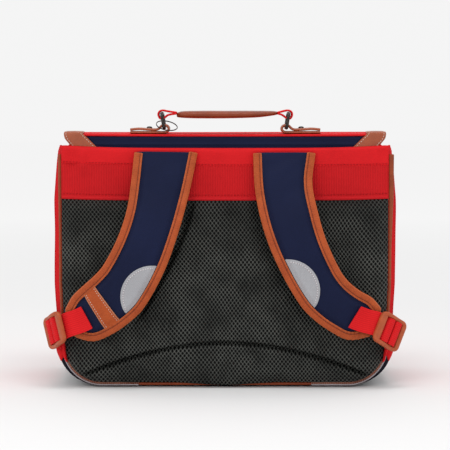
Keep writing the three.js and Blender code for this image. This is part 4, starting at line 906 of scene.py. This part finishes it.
def clasp(label, middle):
    outline = []
    for a, b in zip(CLASP_SECTION, np.roll(CLASP_SECTION, -1, axis=0)):
        span = min(CLASP_ROUND, np.linalg.norm(b - a) / 3) / np.linalg.norm(b - a)
        outline += [lerp(a, b, span), lerp(a, b, 1 - span)]
    y, z = np.transpose(outline)
    rings = np.array([stacked(middle + x, y, z) for x in (-CLASP_HALF, -17.4, -6, 6, 17.4, CLASP_HALF)])
    for end in (0, -1):
        rings[end] = lerp(rings[end].mean(axis=0), rings[end], 0.97)
    loft(f"clasp_{label}_metal", rings, METAL, f"clasp_{label}")


for label, side in SIDES.items():
    closure_tab(label, side * CLASP_SPOT)
    clasp(label, side * CLASP_SPOT)


# Shoulder straps. Columns: along, sideways, down, width, turn in degrees, stand-off, thickness

STRAPS = {
    "left": [
        (0, 0, 0, 1.1, 1, 0.18, 0.45), (0.167, 0.058, 0.2, 1.03, 12, 0.45, 1),
        (0.333, 0.135, 0.4, 0.975, 24, 0.82, 1), (0.5, 0.254, 0.592, 0.99, 35, 1, 1),
        (0.667, 0.432, 0.777, 1.02, 47, 0.96, 1),
        (0.75, 0.56, 0.853, 1.01, 52, 0.88, 1), (0.833, 0.706, 0.918, 0.98, 58, 0.73, 0.95),
        (0.917, 0.858, 0.972, 0.865, 64, 0.58, 0.75), (1, 1, 1, 0.5, 71, 0.46, 0.5),
    ],
    "right": [
        (0, 0.004, 0.004, 1.09, 0, 0.18, 0.45), (0.167, -0.002, 0.207, 1.006, 10.5, 0.45, 1),
        (0.333, 0.071, 0.406, 0.99, 21, 0.82, 1), (0.5, 0.192, 0.595, 0.95, 32, 1, 1),
        (0.667, 0.364, 0.779, 0.925, 43.5, 0.96, 1), (0.75, 0.482, 0.858, 0.895, 49.5, 0.88, 1),
        (0.833, 0.63, 0.923, 0.875, 55.5, 0.73, 0.95), (0.917, 0.79, 0.971, 0.84, 61, 0.58, 0.75),
        (1, 0.955, 0.995, 0.52, 68, 0.46, 0.5),
    ],
}
STRAP_TOP_Z, STRAP_REACH, STRAP_DROP, STRAP_STAND = 264.8, 108.0, 190.4, 33.0
STRAP_WIDTH, STRAP_THICK, STRAP_LENGTH = 64.0, 10.0, 240.0
HEM_WIDTH, HEM_HALF, HEM_GAP, BINDING = 9.6, 1.6, 0.6, 1.2


def row_at(table, along):
    """Values between the rows of a table, on a smooth curve through them."""
    t = np.asarray(table, float)
    s = np.atleast_1d(np.asarray(along, float))
    last = len(t) - 1
    low = np.clip(np.searchsorted(t[:, 0], s, side="right") - 1, 0, last - 1)
    span = (t[low + 1, 0] - t[low, 0])[:, None]
    share = (s - t[low, 0])[:, None] / span

    def slope(i):
        before, after = np.maximum(i - 1, 0), np.minimum(i + 1, last)
        return (t[after, 1:] - t[before, 1:]) / (t[after, :1] - t[before, :1])

    square, cube = share ** 2, share ** 3
    return ((2 * cube - 3 * square + 1) * t[low, 1:] + (cube - 2 * square + share) * span * slope(low)
            + (3 * square - 2 * cube) * t[low + 1, 1:] + (cube - square) * span * slope(low + 1))


def strap_at(label, along):
    """The strap's middle, its outward direction, half its width and its thickness."""
    side = SIDES[label]
    out, down, wide, turn, _, thick = row_at(STRAPS[label], along).T
    turn = np.radians(turn)
    padded = ease(((1 - np.atleast_1d(along)) * STRAP_LENGTH - HEM_WIDTH - 4) / 8)
    middle = stacked(side * (STRAP_TOP_X + STRAP_REACH * out), 0, STRAP_TOP_Z - STRAP_DROP * down)
    outward = stacked(side * np.cos(turn), 0, np.sin(turn))
    return middle, outward, STRAP_WIDTH * wide / 2, lerp(2 * HEM_HALF, STRAP_THICK * thick, padded)


FINE_ALONG = np.linspace(0, 1, 481)
MIDDLES = {label: strap_at(label, FINE_ALONG)[0] for label in STRAPS}


def nearest_middle(label, points):
    """Index of the nearest point of the strap's middle line, seen from the back."""
    line = MIDDLES[label]
    return ((points[:, None, 0] - line[:, 0]) ** 2 + (points[:, None, 2] - line[:, 2]) ** 2).argmin(axis=1)


def strap_stand(label, points):
    """How far the strap stands off the back at each point."""
    line, flat = MIDDLES[label], points.reshape(-1, 3)
    near = nearest_middle(label, flat)
    way = np.gradient(line, FINE_ALONG, axis=0)[near]
    off = flat - line[near]
    nudge = (off[:, 0] * way[:, 0] + off[:, 2] * way[:, 2]) / (way[:, 0] ** 2 + way[:, 2] ** 2)
    along = clip01(FINE_ALONG[near] + nudge)
    return (STRAP_STAND * row_at(STRAPS[label], along)[:, 4]).reshape(points.shape[:-1])


def strap_points(label, middle, outward, across, proud):
    points = middle + outward * np.asarray(across)[..., None]
    points[..., 1] = BACK_Y - strap_stand(label, points) - proud
    return points


def strap_face(half, thick, across):
    """Height of the padded face over the strap's middle surface."""
    rise = ease((half - HEM_WIDTH - GAP - np.abs(across)) / 6.5)
    crown = clip01(1 - np.abs(across) / half)
    return HEM_HALF + (thick / 2 - HEM_HALF) * (0.72 * rise + 0.36 * crown * rise)


def strap_pad(label, side):
    alongs = spans((0, 0.9, 118), (0.9, 0.988, 26))
    middle, outward, half, thick = (part[:, None] for part in strap_at(label, alongs))
    edge = half - BINDING - 4 * GAP - 4 * ease((alongs - 0.82) / 0.18)[:, None]
    across = edge * np.sin(np.radians(np.linspace(90, -90, 45)))
    high = strap_face(half, thick, across)
    run = alongs[:, None] * STRAP_LENGTH
    hem_line = bell(np.abs(across) - (half - HEM_WIDTH - 3.5), 3.0)
    soft = 0.28 * waves(run * 1.1, across, 61 + side, 24) + 0.45 * hem_line * waves(run, side * 9, 63, 7)
    soft += 0.75 * bell(run - 14, 34) * waves(run + 0.45 * across, 0.25 * across, 67 + side, 8)
    soft *= ease((half - HEM_WIDTH - np.abs(across)) / 3) * ease((thick - 4) / 3)
    front = strap_points(label, middle, outward, across, high + soft)
    rear = strap_points(label, middle, outward, across, -high)
    lengths = stacked(np.concatenate([across, across[:, ::-1] + 100], axis=1), run)
    rings = np.concatenate([front, rear[:, ::-1]], axis=1)
    body = loft(f"strap_{label}_pad", rings, NAVY, f"strap_{label}", uv=lengths)


BIND_STEP, SEAM_ROW = 1.5, 3
bind_face = HEM_HALF + HEM_GAP
# Columns: distance in from the folded edge, height in thicknesses. SEAM_ROW is the row of the sewn groove
bind_front = [(0, 0.3), (0.2, 1.0), (1.4, 1.3), (2.7, 0.55), (4.1, 1.2), (HEM_WIDTH - 4.6, 1.35),
              (HEM_WIDTH - 3.2, 1.25)]
bind_angles = np.radians(np.linspace(90, -90, 9))
BIND_SECTION = np.array(
    [(HEM_WIDTH - u, bind_face + BINDING * v) for u, v in bind_front]
    + [(1.9 - 1.9 * math.cos(a), (bind_face + BINDING) * math.sin(a)) for a in bind_angles]
    + [(4, -bind_face - BINDING), (HEM_WIDTH - 0.4, -bind_face - BINDING), (HEM_WIDTH, -bind_face - 0.4),
       (HEM_WIDTH, -bind_face), (BINDING + 0.6, -bind_face), (BINDING, 0.6 - bind_face),
       (BINDING, bind_face - 0.6), (BINDING + 0.6, bind_face), (HEM_WIDTH, bind_face)])
RUFFLED = np.array([1, 1, 1, 0.5, 0.3, 0.2, 0.1] + [0] * (len(BIND_SECTION) - len(bind_front)))


def binding_path(label):
    """Down the strap's outer edge, round its end and up the inner one, with softened turns."""
    middle, outward, half, _ = strap_at(label, np.linspace(0, 1, 150))
    outer, inner = middle + outward * half[:, None], middle - outward * half[:, None]
    path = evenly(np.vstack([outer, (outer[-1:] + inner[-1:]) / 2, inner[::-1]]), BIND_STEP)
    kernel = np.hanning(9) / np.hanning(9).sum()
    wide = np.vstack([np.repeat(path[:1], 4, axis=0), path, np.repeat(path[-1:], 4, axis=0)])
    return np.stack([np.convolve(wide[:, k], kernel, mode="valid") for k in range(3)], axis=1)


def strap_binding(label):
    path = binding_path(label)
    way = headings(path)
    inward = stacked(way[:, 2], 0, -way[:, 0])
    flip = np.sign((inward * (MIDDLES[label][nearest_middle(label, path)] - path)).sum(axis=1))
    inward *= np.where(flip == 0, 1, flip)[:, None]
    u, v = BIND_SECTION.T
    run = np.arange(len(path))[:, None] * BIND_STEP
    ruffle = np.sin(run * 2 * math.pi / 6.3 + 2 * waves(run, 0, 91, 20))
    ruffle = (0.2 + 0.6 * bell(run - run[-1] / 2, 42)) * ruffle
    puff = clip01((BINDING + 0.6 - u) / 2) * (v > 0)
    rings = path[:, None] + inward[:, None] * (u - 0.5 * ruffle * puff)[..., None]
    soft = ruffle * RUFFLED + 0.22 * waves(run, u * 2, 93, 18) * (v > 0)
    rings[..., 1] = BACK_Y - strap_stand(label, rings) - v - soft
    loft(f"strap_binding_{label}_tape", rings, BOUND, f"strap_binding_{label}")
    stitches(f"strap_binding_{label}_stitch", rings[2:-2, SEAM_ROW] - (0, 0.05, 0), (0, -1, 0), BROWN_THREAD,
             pitch=3.2, length=1.9, radius=0.5)


for label, side in SIDES.items():
    strap_pad(label, side)
    strap_binding(label)


# Reflectors and the keeper

REFLECTOR, FILM, FILM_LIFT, SEAM_IN = 35.0, 0.6, 0.35, 2.8
# Middle of each reflector's circle: distance from the middle of the body, height
REFLECTORS = {"left": (80.2, 106.0), "right": (69.6, 113.0)}


def patch(name, label, alongs, low, high, lift, thick, columns, finish, *stands_for):
    """A thin piece that lies on the strap between two distances across it."""
    middle, outward, half, padding = (part[:, None] for part in strap_at(label, alongs))
    across = lerp(low[:, None], high[:, None], np.linspace(0, 1, columns))
    proud = strap_face(half, padding, across) + lift
    outer = strap_points(label, middle, outward, across, proud + thick)
    wall(name, outer, strap_points(label, middle, outward, across, proud), finish, *stands_for)
    return outer


def reflector(label, side):
    alongs = np.linspace(0, 1, 900)
    middle, outward, half, padding = strap_at(label, alongs)
    low = HEM_WIDTH + 3 * GAP - half
    px, pz = REFLECTORS[label]
    off = middle - (side * px, 0, pz)
    b = (off * outward).sum(axis=1)

    def circle(radius):
        root = b * b - (off ** 2).sum(axis=1) + radius ** 2
        return root, -b + np.sqrt(np.maximum(root, 0))

    root, high = circle(REFLECTOR)
    fits = np.where((root > 0) & (high - low > 0.9))[0]
    kept = lerp(alongs[fits[0]], alongs[fits[-1]], (1 - np.cos(np.linspace(0, math.pi, 70))) / 2)
    low_kept = np.interp(kept, alongs, low)
    high_kept = np.maximum(np.interp(kept, alongs, high), low_kept + 0.9)
    patch(f"reflector_{label}_film", label, kept, low_kept, high_kept, FILM_LIFT, FILM, 34, BRIGHT,
          f"reflector_{label}")
    root, high = circle(REFLECTOR - SEAM_IN)
    fits = np.where((root > 0) & (high - low > 1.2))[0]
    proud = strap_face(half[fits], padding[fits], high[fits]) + FILM_LIFT + FILM
    seam = evenly(strap_points(label, middle[fits], outward[fits], high[fits], proud), 0.8)
    tube(f"reflector_{label}_groove", seam, (0, 1, 0), 0.16, 8, GROOVE, deep=0.5)
    stitches(f"reflector_{label}_stitch", seam - (0, 0.12, 0), (0, -1, 0), SILVER_THREAD,
             pitch=2.7, length=1.7, radius=0.42)


for label, side in SIDES.items():
    reflector(label, side)

alongs = np.linspace(0.775, 0.845, 26)
reach = strap_at("left", alongs)[2] - HEM_WIDTH + 1.0
face = patch("strap_keeper_leather", "left", alongs, -reach, reach, 0.5, 1.3, 60, TAN, "strap_keeper_left")
for k, row in enumerate((3, -4)):
    stitches(f"strap_keeper_stitch_{k + 1}", evenly(face[row, 1:-1], 1.0), (0, -1, 0), WHITE_THREAD,
             pitch=3.0, length=2.0)
for k, row in enumerate((0, -1)):
    tube(f"strap_keeper_edge_{k + 1}", evenly(face[row], 1.5) + (0, 0.5, 0), (0, 1, 0), 0.75, 8, TAN_EDGE)


# Buckles with their webbing

# Columns: distance from the middle of the body, y from the back, height, tilt, lean and yaw in degrees
FASTENINGS = {"left": (190.4, -12.4, 66.1, 15, 16, 53), "right": (183.5, -18.6, 65.6, 23, 16, 30)}
BUCKLE_LONG, BUCKLE_WIDE, BUCKLE_THICK = 38.0, 36.0, 4.0
INNER_BAR, OUTER_BAR, RAIL, SLOT = 8.0, 5.5, 3.6, 5.0
BUCKLE_CORNER, BUCKLE_BOW = 6.5, 1.3
WEB_THICK, WEB_SEEN, WEB_LIFT = 1.6, 27.6, 3.6
WEB_REACH = {"left": 26.0, "right": 28.0}
first_slot = -BUCKLE_LONG / 2 + INNER_BAR
middle_bar = (BUCKLE_LONG / 2 - OUTER_BAR - first_slot - 3 * SLOT) / 2
slot_starts = [first_slot + i * (SLOT + middle_bar) for i in range(3)]
SLOTS = [(start, start + SLOT) for start in slot_starts]
# Columns: start, stop, half depth, offset
BARS = [(0.6 - BUCKLE_LONG / 2, first_slot, 2.0, -0.9), (SLOTS[0][1], SLOTS[1][0], 1.7, -0.5),
        (SLOTS[1][1], SLOTS[2][0], 1.7, 0.3), (SLOTS[2][1], BUCKLE_LONG / 2 - 0.6, 2.2, 0.7)]
PASS_HEIGHT = BUCKLE_THICK / 2 + WEB_THICK / 2 + GAP + 0.2
CLEAR = WEB_THICK / 2 + GAP
# Edges of the webbing's end in the side seam: distance from the middle, y from the back, height
END_INNER = [(178.5, -2.2, 47.0), (180.5, -2.6, 41.0), (182.2, -1.5, 36.0), (184.0, 0.5, 30.4)]
END_OUTER = [(190.4, 1.0, 50.0), (189.6, 1.0, 42.0), (187.8, 1.5, 36.0), (185.4, 2.2, 30.0)]


def rotation(degrees, axis):
    return Matrix.Rotation(math.radians(degrees), 4, axis)


def put(points, matrix):
    return np.asarray(points, float) @ matrix[:3, :3].T + matrix[:3, 3]


def buckle(label, side, placed):
    """A bowed frame with a rounded corner at each end and four bars across it."""
    bend = BUCKLE_CORNER - RAIL / 2
    line = []
    for u_sign, v_sign, start in ((1, 1, 0), (-1, 1, 90), (-1, -1, 180), (1, -1, 270)):
        angles = np.radians(np.linspace(start, start + 90, 9))
        line += list(stacked(u_sign * (BUCKLE_LONG / 2 - BUCKLE_CORNER) + bend * np.cos(angles), 0,
                             v_sign * (BUCKLE_WIDE / 2 - BUCKLE_CORNER) + bend * np.sin(angles)))
    line = evenly(np.array(line + line[:1]), 0.8)[:-1]
    share = clip01(line[:, 0] / BUCKLE_LONG + 0.5)
    line[:, 0] *= side
    line[:, 1] = -BUCKLE_BOW * np.sin(share * 2 * math.pi)
    rings = tube_rings(line, (0, 1, 0), 2.3 + 0.9 * np.sin(share * math.pi), RAIL / 2 + 0.5, 20, True, 0.6)
    bodies = [ring_mesh(rings, closed=True)]
    v = np.linspace(-BUCKLE_WIDE / 2 + 2.2, BUCKLE_WIDE / 2 - 2.2, 20)[:, None]
    c, s = oval(24, 0.55)
    for start, stop, deep, off in BARS:
        u = side * ((start + stop) / 2 + (stop - start) / 2 * c)
        bodies.append(ring_mesh(stacked(u, off + deep * s, v)))
    bodies = [(put(points, placed), faces, lengths) for points, faces, lengths in bodies]
    merged(f"buckle_{label}_plastic", bodies, PLASTIC, f"buckle_{label}")


def on_strap(label, distance):
    """A point of the webbing over the strap, at a distance from the strap's end."""
    middle, outward, half, thick = strap_at(label, 1 - distance / STRAP_LENGTH)
    face = max(HEM_HALF + HEM_GAP + BINDING, float(strap_face(half, thick, 0)[0]))
    lift = WEB_LIFT * max(0, 1 - distance / 24)
    return strap_points(label, middle, outward, np.zeros(1), face + CLEAR + 4 * GAP + lift)[0]


def on_buckle(side, placed, *stations):
    """Points by place along the buckle and side of it, in heights of the pass."""
    return [put([side * along, off * PASS_HEIGHT, 0], placed) for along, off in stations]


def fastening(label, side):
    fx, fy, fz, tilt, lean, yaw = FASTENINGS[label]
    turned = (Matrix.Translation((side * fx, BACK_Y + fy, fz)) @ rotation(side * tilt, "Y")
              @ rotation(-lean, "X"))
    placed = np.array(turned @ rotation(side * yaw, "Z"))
    width_line = np.array(turned)[:3, 2]
    buckle(label, side, placed)

    slot_a, slot_b, slot_c = SLOTS
    reach = WEB_REACH[label]
    upper = [on_strap(label, distance) for distance in (reach, 15.8, 7.9, 0)]
    upper += on_buckle(
        side, placed, (slot_a[0] - 0.5, 1), (slot_a[0] + 0.9, 0.94), (slot_a[1] - 1.1, -0.88),
        (slot_a[1] + 0.5, -1), (slot_b[0] - 0.3, -1), (slot_b[0] + CLEAR, -0.82), (slot_b[0] + CLEAR, 0.82),
        (slot_b[0] - 0.5, 1.06),
        (slot_a[1], 1.09), (sum(slot_a) / 2, 1.455), (slot_a[0] - 2, 1.73))
    line = evenly(softened(upper), 0.7)
    run = np.arange(len(line)) * 0.7
    cross = strap_at(label, clip01(1 - (reach - np.minimum(run, reach)) / STRAP_LENGTH))[1]
    twist = (np.radians(lean) * np.minimum(run / reach, 1))[:, None]
    cross = cross * np.cos(twist) + np.array([0, 1, 0]) * np.sin(twist)
    widths = unit(lerp(cross, width_line, ease((run - reach + 2) / 8)[:, None]))
    ribbon(f"strap_webbing_{label}_tape", line, widths, WEB_SEEN, WEB_THICK, RED_BELT,
           f"strap_webbing_{label}", crown=0.15)

    (lx, hx, mx), (lz, hz, mz) = seam_point([1.25, 0.97, 1.1])[:2]
    seam_line = unit(np.array([side * (hx - lx), 0, hz - lz]))
    anchor = np.array([side * (mx - 1), BACK_Y - 2 - 2 * GAP, mz + 2])
    middle_c = sum(slot_c) / 2
    behind = on_buckle(side, placed, (middle_c, 1.91))[0]
    lower = [anchor, anchor + (side, -3.5, 2), lerp(anchor, behind, 0.6), behind]
    lower += on_buckle(side, placed, (middle_c, 0.76), (middle_c - 0.6, -0.76), (slot_c[0] + 0.2, -1),
                       (slot_b[1] + 0.2, -1), (slot_b[1] - CLEAR, -0.82), (slot_b[1] - CLEAR, 1))
    line = evenly(softened(lower), 0.7)
    share = np.linspace(0, 1, len(line))[:, None]
    widths = unit(lerp(seam_line, width_line, ease((share - 0.1) / 0.4)))
    ribbon(f"seam_webbing_{label}_tape", line, widths, WEB_SEEN, WEB_THICK, RED_BELT,
           f"seam_webbing_{label}", crown=0.15)

    edges = [curve_through(points, 0.9) for points in (END_INNER, END_OUTER)]
    inner, outer = (sampled(np.linspace(0, 1, 24), np.linspace(0, 1, len(e)), e)[:, None] for e in edges)
    share = np.linspace(0, 1, 12)
    strip = lerp(inner, outer, share[:, None])
    strip[..., 1] += BACK_Y - 1.2 * np.sin(math.pi * share)
    strip[..., 0] *= side
    wall(f"seam_webbing_end_{label}", strip, strip + (0, 1.4, 0), RED_BELT)


for label, side in SIDES.items():
    fastening(label, side)


# Handle

HANDLE_SPAN, HANDLE_MIDDLE = 68.5, 0.3
GRIP_Y = BACK_Y + 21
GRIP_HALF, GRIP_DEEP, GRIP_HIGH, GRIP_SHIFT = 56.0, 25.0, 8.6, 2.4
TAB_WIDE, TAB_TAIL, TAB_LEATHER, TAB_HEM = 22.0, 38.0, 2.2, 2.2
LOOP_WIDE, LOOP_THICK = 20.0, 2.1
HOLE_WIDE, HOLE_HIGH = 3.9, 2.9
RING_HIGH, RING_DEEP, RING_WIRE, RING_CORNER, RING_LEAN = 17.0, 31.0, 1.6, 3.4, 2.6
RING_SEEN = 1.85
tab_floor = float(lid_top_z(HANDLE_SPAN + TAB_TAIL + HANDLE_MIDDLE, GRIP_Y + TAB_WIDE / 2)) + GAP
bar_z = tab_floor + TAB_LEATHER + HOLE_HIGH
ring_low = bar_z + HOLE_HIGH * 0.95 - RING_WIRE - GAP
ring_top = bar_z + RING_HIGH
# Radius and height of the rivet's head
RIVET = [(0.01, 1.7), (1.4, 1.65), (2.6, 1.2), (3.2, 0.5), (3.4, -0.2), (3.2, -0.7), (0.01, -0.8)]
# Columns: along, depth, height, lift, all as shares
GRIP_ROWS = [(0, 0.5, 0.6, -0.05), (0.04, 0.8, 0.85, 0), (0.2, 1, 1, 0), (0.5, 1, 1, 0), (0.8, 1, 0.88, 0.06),
             (0.96, 0.8, 0.6, 0.16), (1, 0.5, 0.42, 0.18)]
KEY_RING, KEY_WIRE, KEY_PITCH = 12.0, 0.42, 0.45


def handle_x(side, out):
    return side * (HANDLE_SPAN + out) + HANDLE_MIDDLE


def handle_tab(label, side):
    """Leather strip that folds round the ring's bar and is sewn and riveted to the lid."""
    wide, high = HOLE_WIDE + TAB_LEATHER / 2, HOLE_HIGH + TAB_LEATHER / 2
    top_layer = [(TAB_TAIL, 1.9), (TAB_TAIL * 0.75, 2.25), (TAB_TAIL * 0.45, 1.95), (wide + 3, 2.0)]
    fold = [(wide * math.cos(a), bar_z + high * math.sin(a)) for a in np.radians(np.linspace(50, 270, 16))]
    low_layer = [(TAB_TAIL * 0.4, 0.5), (TAB_TAIL, 0.5)]
    top_layer, low_layer = ([(u, tab_floor + TAB_LEATHER * layers) for u, layers in part]
                            for part in (top_layer, low_layer))
    line = curve_through([(handle_x(side, u), GRIP_Y, z) for u, z in top_layer + fold + low_layer], 0.7)
    ribbon(f"handle_tab_{label}_leather", line, (0, 1, 0), TAB_WIDE, TAB_LEATHER + 0.4, TAN_PALE,
           f"handle_tab_{label}", crown=0.2)
    for k, y in enumerate((TAB_HEM - TAB_WIDE / 2, TAB_WIDE / 2 - TAB_HEM)):
        spine = line[:int(TAB_TAIL / 0.7) - 6] + (0, y, TAB_LEATHER / 2 + 0.1)
        stitches(f"handle_tab_{label}_stitch_{k + 1}", spine, (0, 0, 1), WHITE_THREAD,
                 pitch=3.0, length=2.1, radius=0.36)
    centre = (handle_x(side, TAB_TAIL * 0.5 - 2), GRIP_Y, tab_floor + TAB_LEATHER * 2.6 + GAP)
    radius, height = np.transpose(RIVET)[..., None]
    c, s = oval(28)
    loft(f"handle_rivet_{label}_metal", centre + stacked(radius * c, radius * s, height), METAL,
         f"handle_rivet_{label}")


def handle_loop(label, side):
    """Webbing from the grip's end round the top of the ring and back."""
    end = GAP + GRIP_HALF + side * (GRIP_SHIFT - HANDLE_MIDDLE) - HANDLE_SPAN - RING_LEAN + 0.6
    around = [(end, 1.0), (-6, 2.6), (-1, 3.5), (2.4, 2.5), (4.0, -0.1), (3.5, -3.3), (1.3, -5.8),
              (-2.3, -4.9), (-7, -1.6), (end, 0.0)]
    line = curve_through([(handle_x(side, u + RING_LEAN), GRIP_Y, ring_top + v) for u, v in around], 0.6)
    ribbon(f"handle_loop_{label}_tape", line, (0, 1, 0), LOOP_WIDE, LOOP_THICK, RED_BELT,
           f"handle_loop_{label}", crown=0.1)


def handle_ring(label, side):
    """A leaning rectangular wire ring with round corners."""
    path = []
    half = RING_DEEP / 2 - RING_CORNER
    low, high = ring_low + RING_CORNER, ring_top - RING_CORNER
    for mid_y, mid_z, start in ((-half, low, 180), (half, low, 270), (half, high, 0), (-half, high, 90)):
        angles = np.radians(np.linspace(start, start + 90, 8))
        z = mid_z + RING_CORNER * np.sin(angles)
        path += list(stacked(handle_x(side, RING_LEAN * (z - bar_z) / RING_HIGH),
                             GRIP_Y + mid_y + RING_CORNER * np.cos(angles), z))
    line = evenly(np.array(path + path[:1]), 0.8)[:-1]
    tube(f"handle_ring_{label}_wire", line, (1, 0, 0), RING_SEEN, 14, METAL, f"handle_ring_{label}",
         closed=True)


for label, side in SIDES.items():
    handle_tab(label, side)
    handle_loop(label, side)
    handle_ring(label, side)

alongs = spans((0, 0.08, 16), (0.08, 0.92, 60), (0.92, 1, 16))
deep, high, lift = row_at(GRIP_ROWS, alongs).T[..., None]
c, s = oval(32, 0.85)
rings = stacked((GRIP_SHIFT + lerp(-GRIP_HALF, GRIP_HALF, alongs))[:, None],
                GRIP_Y + GRIP_DEEP / 2 * deep * c,
                ring_top - 1.2 + GRIP_HIGH * lift + GRIP_HIGH / 2 * high * s)
rings[..., 2] += 0.18 * waves(rings[..., 0], rings[..., 1] * 2, 71, 16)
loft("handle_grip_leather", rings, GRIP, "handle_grip")

middle = (HANDLE_MIDDLE - HANDLE_SPAN + 2.8, GRIP_Y - RING_DEEP / 2 + KEY_RING - 1, bar_z + 3.4)
turn = np.array(rotation(12, "Y") @ rotation(24, "X"))[:3, :3]
angles = np.linspace(0, 4 * math.pi, 140)
coil = stacked(KEY_RING * np.cos(angles), KEY_RING * np.sin(angles), np.linspace(-KEY_PITCH, KEY_PITCH, 140))
tube("key_ring_wire", coil @ turn.T + middle, (0, 0, 1), KEY_WIRE, 10, METAL, "key_ring")


# Camera, floor and light

LOOK_UP, EYE_BACK, EYE_UP, VIEW_WIDE = 0.1833, 1.9, 0.32, 0.504
FLOOR_HALF, SKY = 12.0, 0.91


def placed_in_scene(name, data, place=(0, 0, 0), target=None):
    obj = bpy.data.objects.new(name, data)
    bpy.context.scene.collection.objects.link(obj)
    obj.location = place
    if target is not None:
        obj.rotation_euler = (Vector(target) - Vector(place)).to_track_quat("-Z", "Y").to_euler()
    return obj


def lamp(name, place, target, size, power):
    data = bpy.data.lights.new(name, "AREA")
    data.shape = "RECTANGLE"
    data.size, data.size_y = size
    data.energy = power
    placed_in_scene(name, data, place, target)


look = Vector((SHIFT[0], board_low.y, LOOK_UP))
eye = Vector((SHIFT[0], board_low.y - EYE_BACK, EYE_UP))
lens = bpy.data.cameras.new("camera")
lens.sensor_width = 36
lens.lens = lens.sensor_width * (look - eye).length / VIEW_WIDE
bpy.context.scene.camera = placed_in_scene("camera", lens, eye, look)

floor_mesh = bpy.data.meshes.new("floor")
corners = [(x * FLOOR_HALF, y * FLOOR_HALF, 0) for x, y in ((-1, -1), (1, -1), (1, 1), (-1, 1))]
floor_mesh.from_pydata(corners, [], [(0, 1, 2, 3)])
floor = placed_in_scene("floor", floor_mesh)
paint = Paint("floor_paint", 0.9, 0.0)
away = paint.node("ShaderNodeVectorMath", {0: paint.place.outputs["Object"]}, operation="LENGTH")
far = paint.times(away.outputs["Value"], 0.25)
pale = paint.ramp(far, (0.2, (0.85, 0.85, 0.85)), (0.7, (0.99, 0.99, 0.99)))
floor_mesh.materials.append(paint.done(pale))

world = bpy.data.worlds.new("sky")
bpy.context.scene.world = world
world.use_nodes = True
world.node_tree.nodes["Background"].inputs["Color"].default_value = (1, 1, 1, 1)
world.node_tree.nodes["Background"].inputs["Strength"].default_value = SKY
lamp("top", (0.05, -0.5, 1.6), (0, 0, 0.25), (0.9, 0.5), 7)
lamp("key", (-0.9, -1.7, 0.9), (0, 0, 0.15), (0.5, 0.6), 3)
bpy.context.scene.view_settings.view_transform = "Standard"
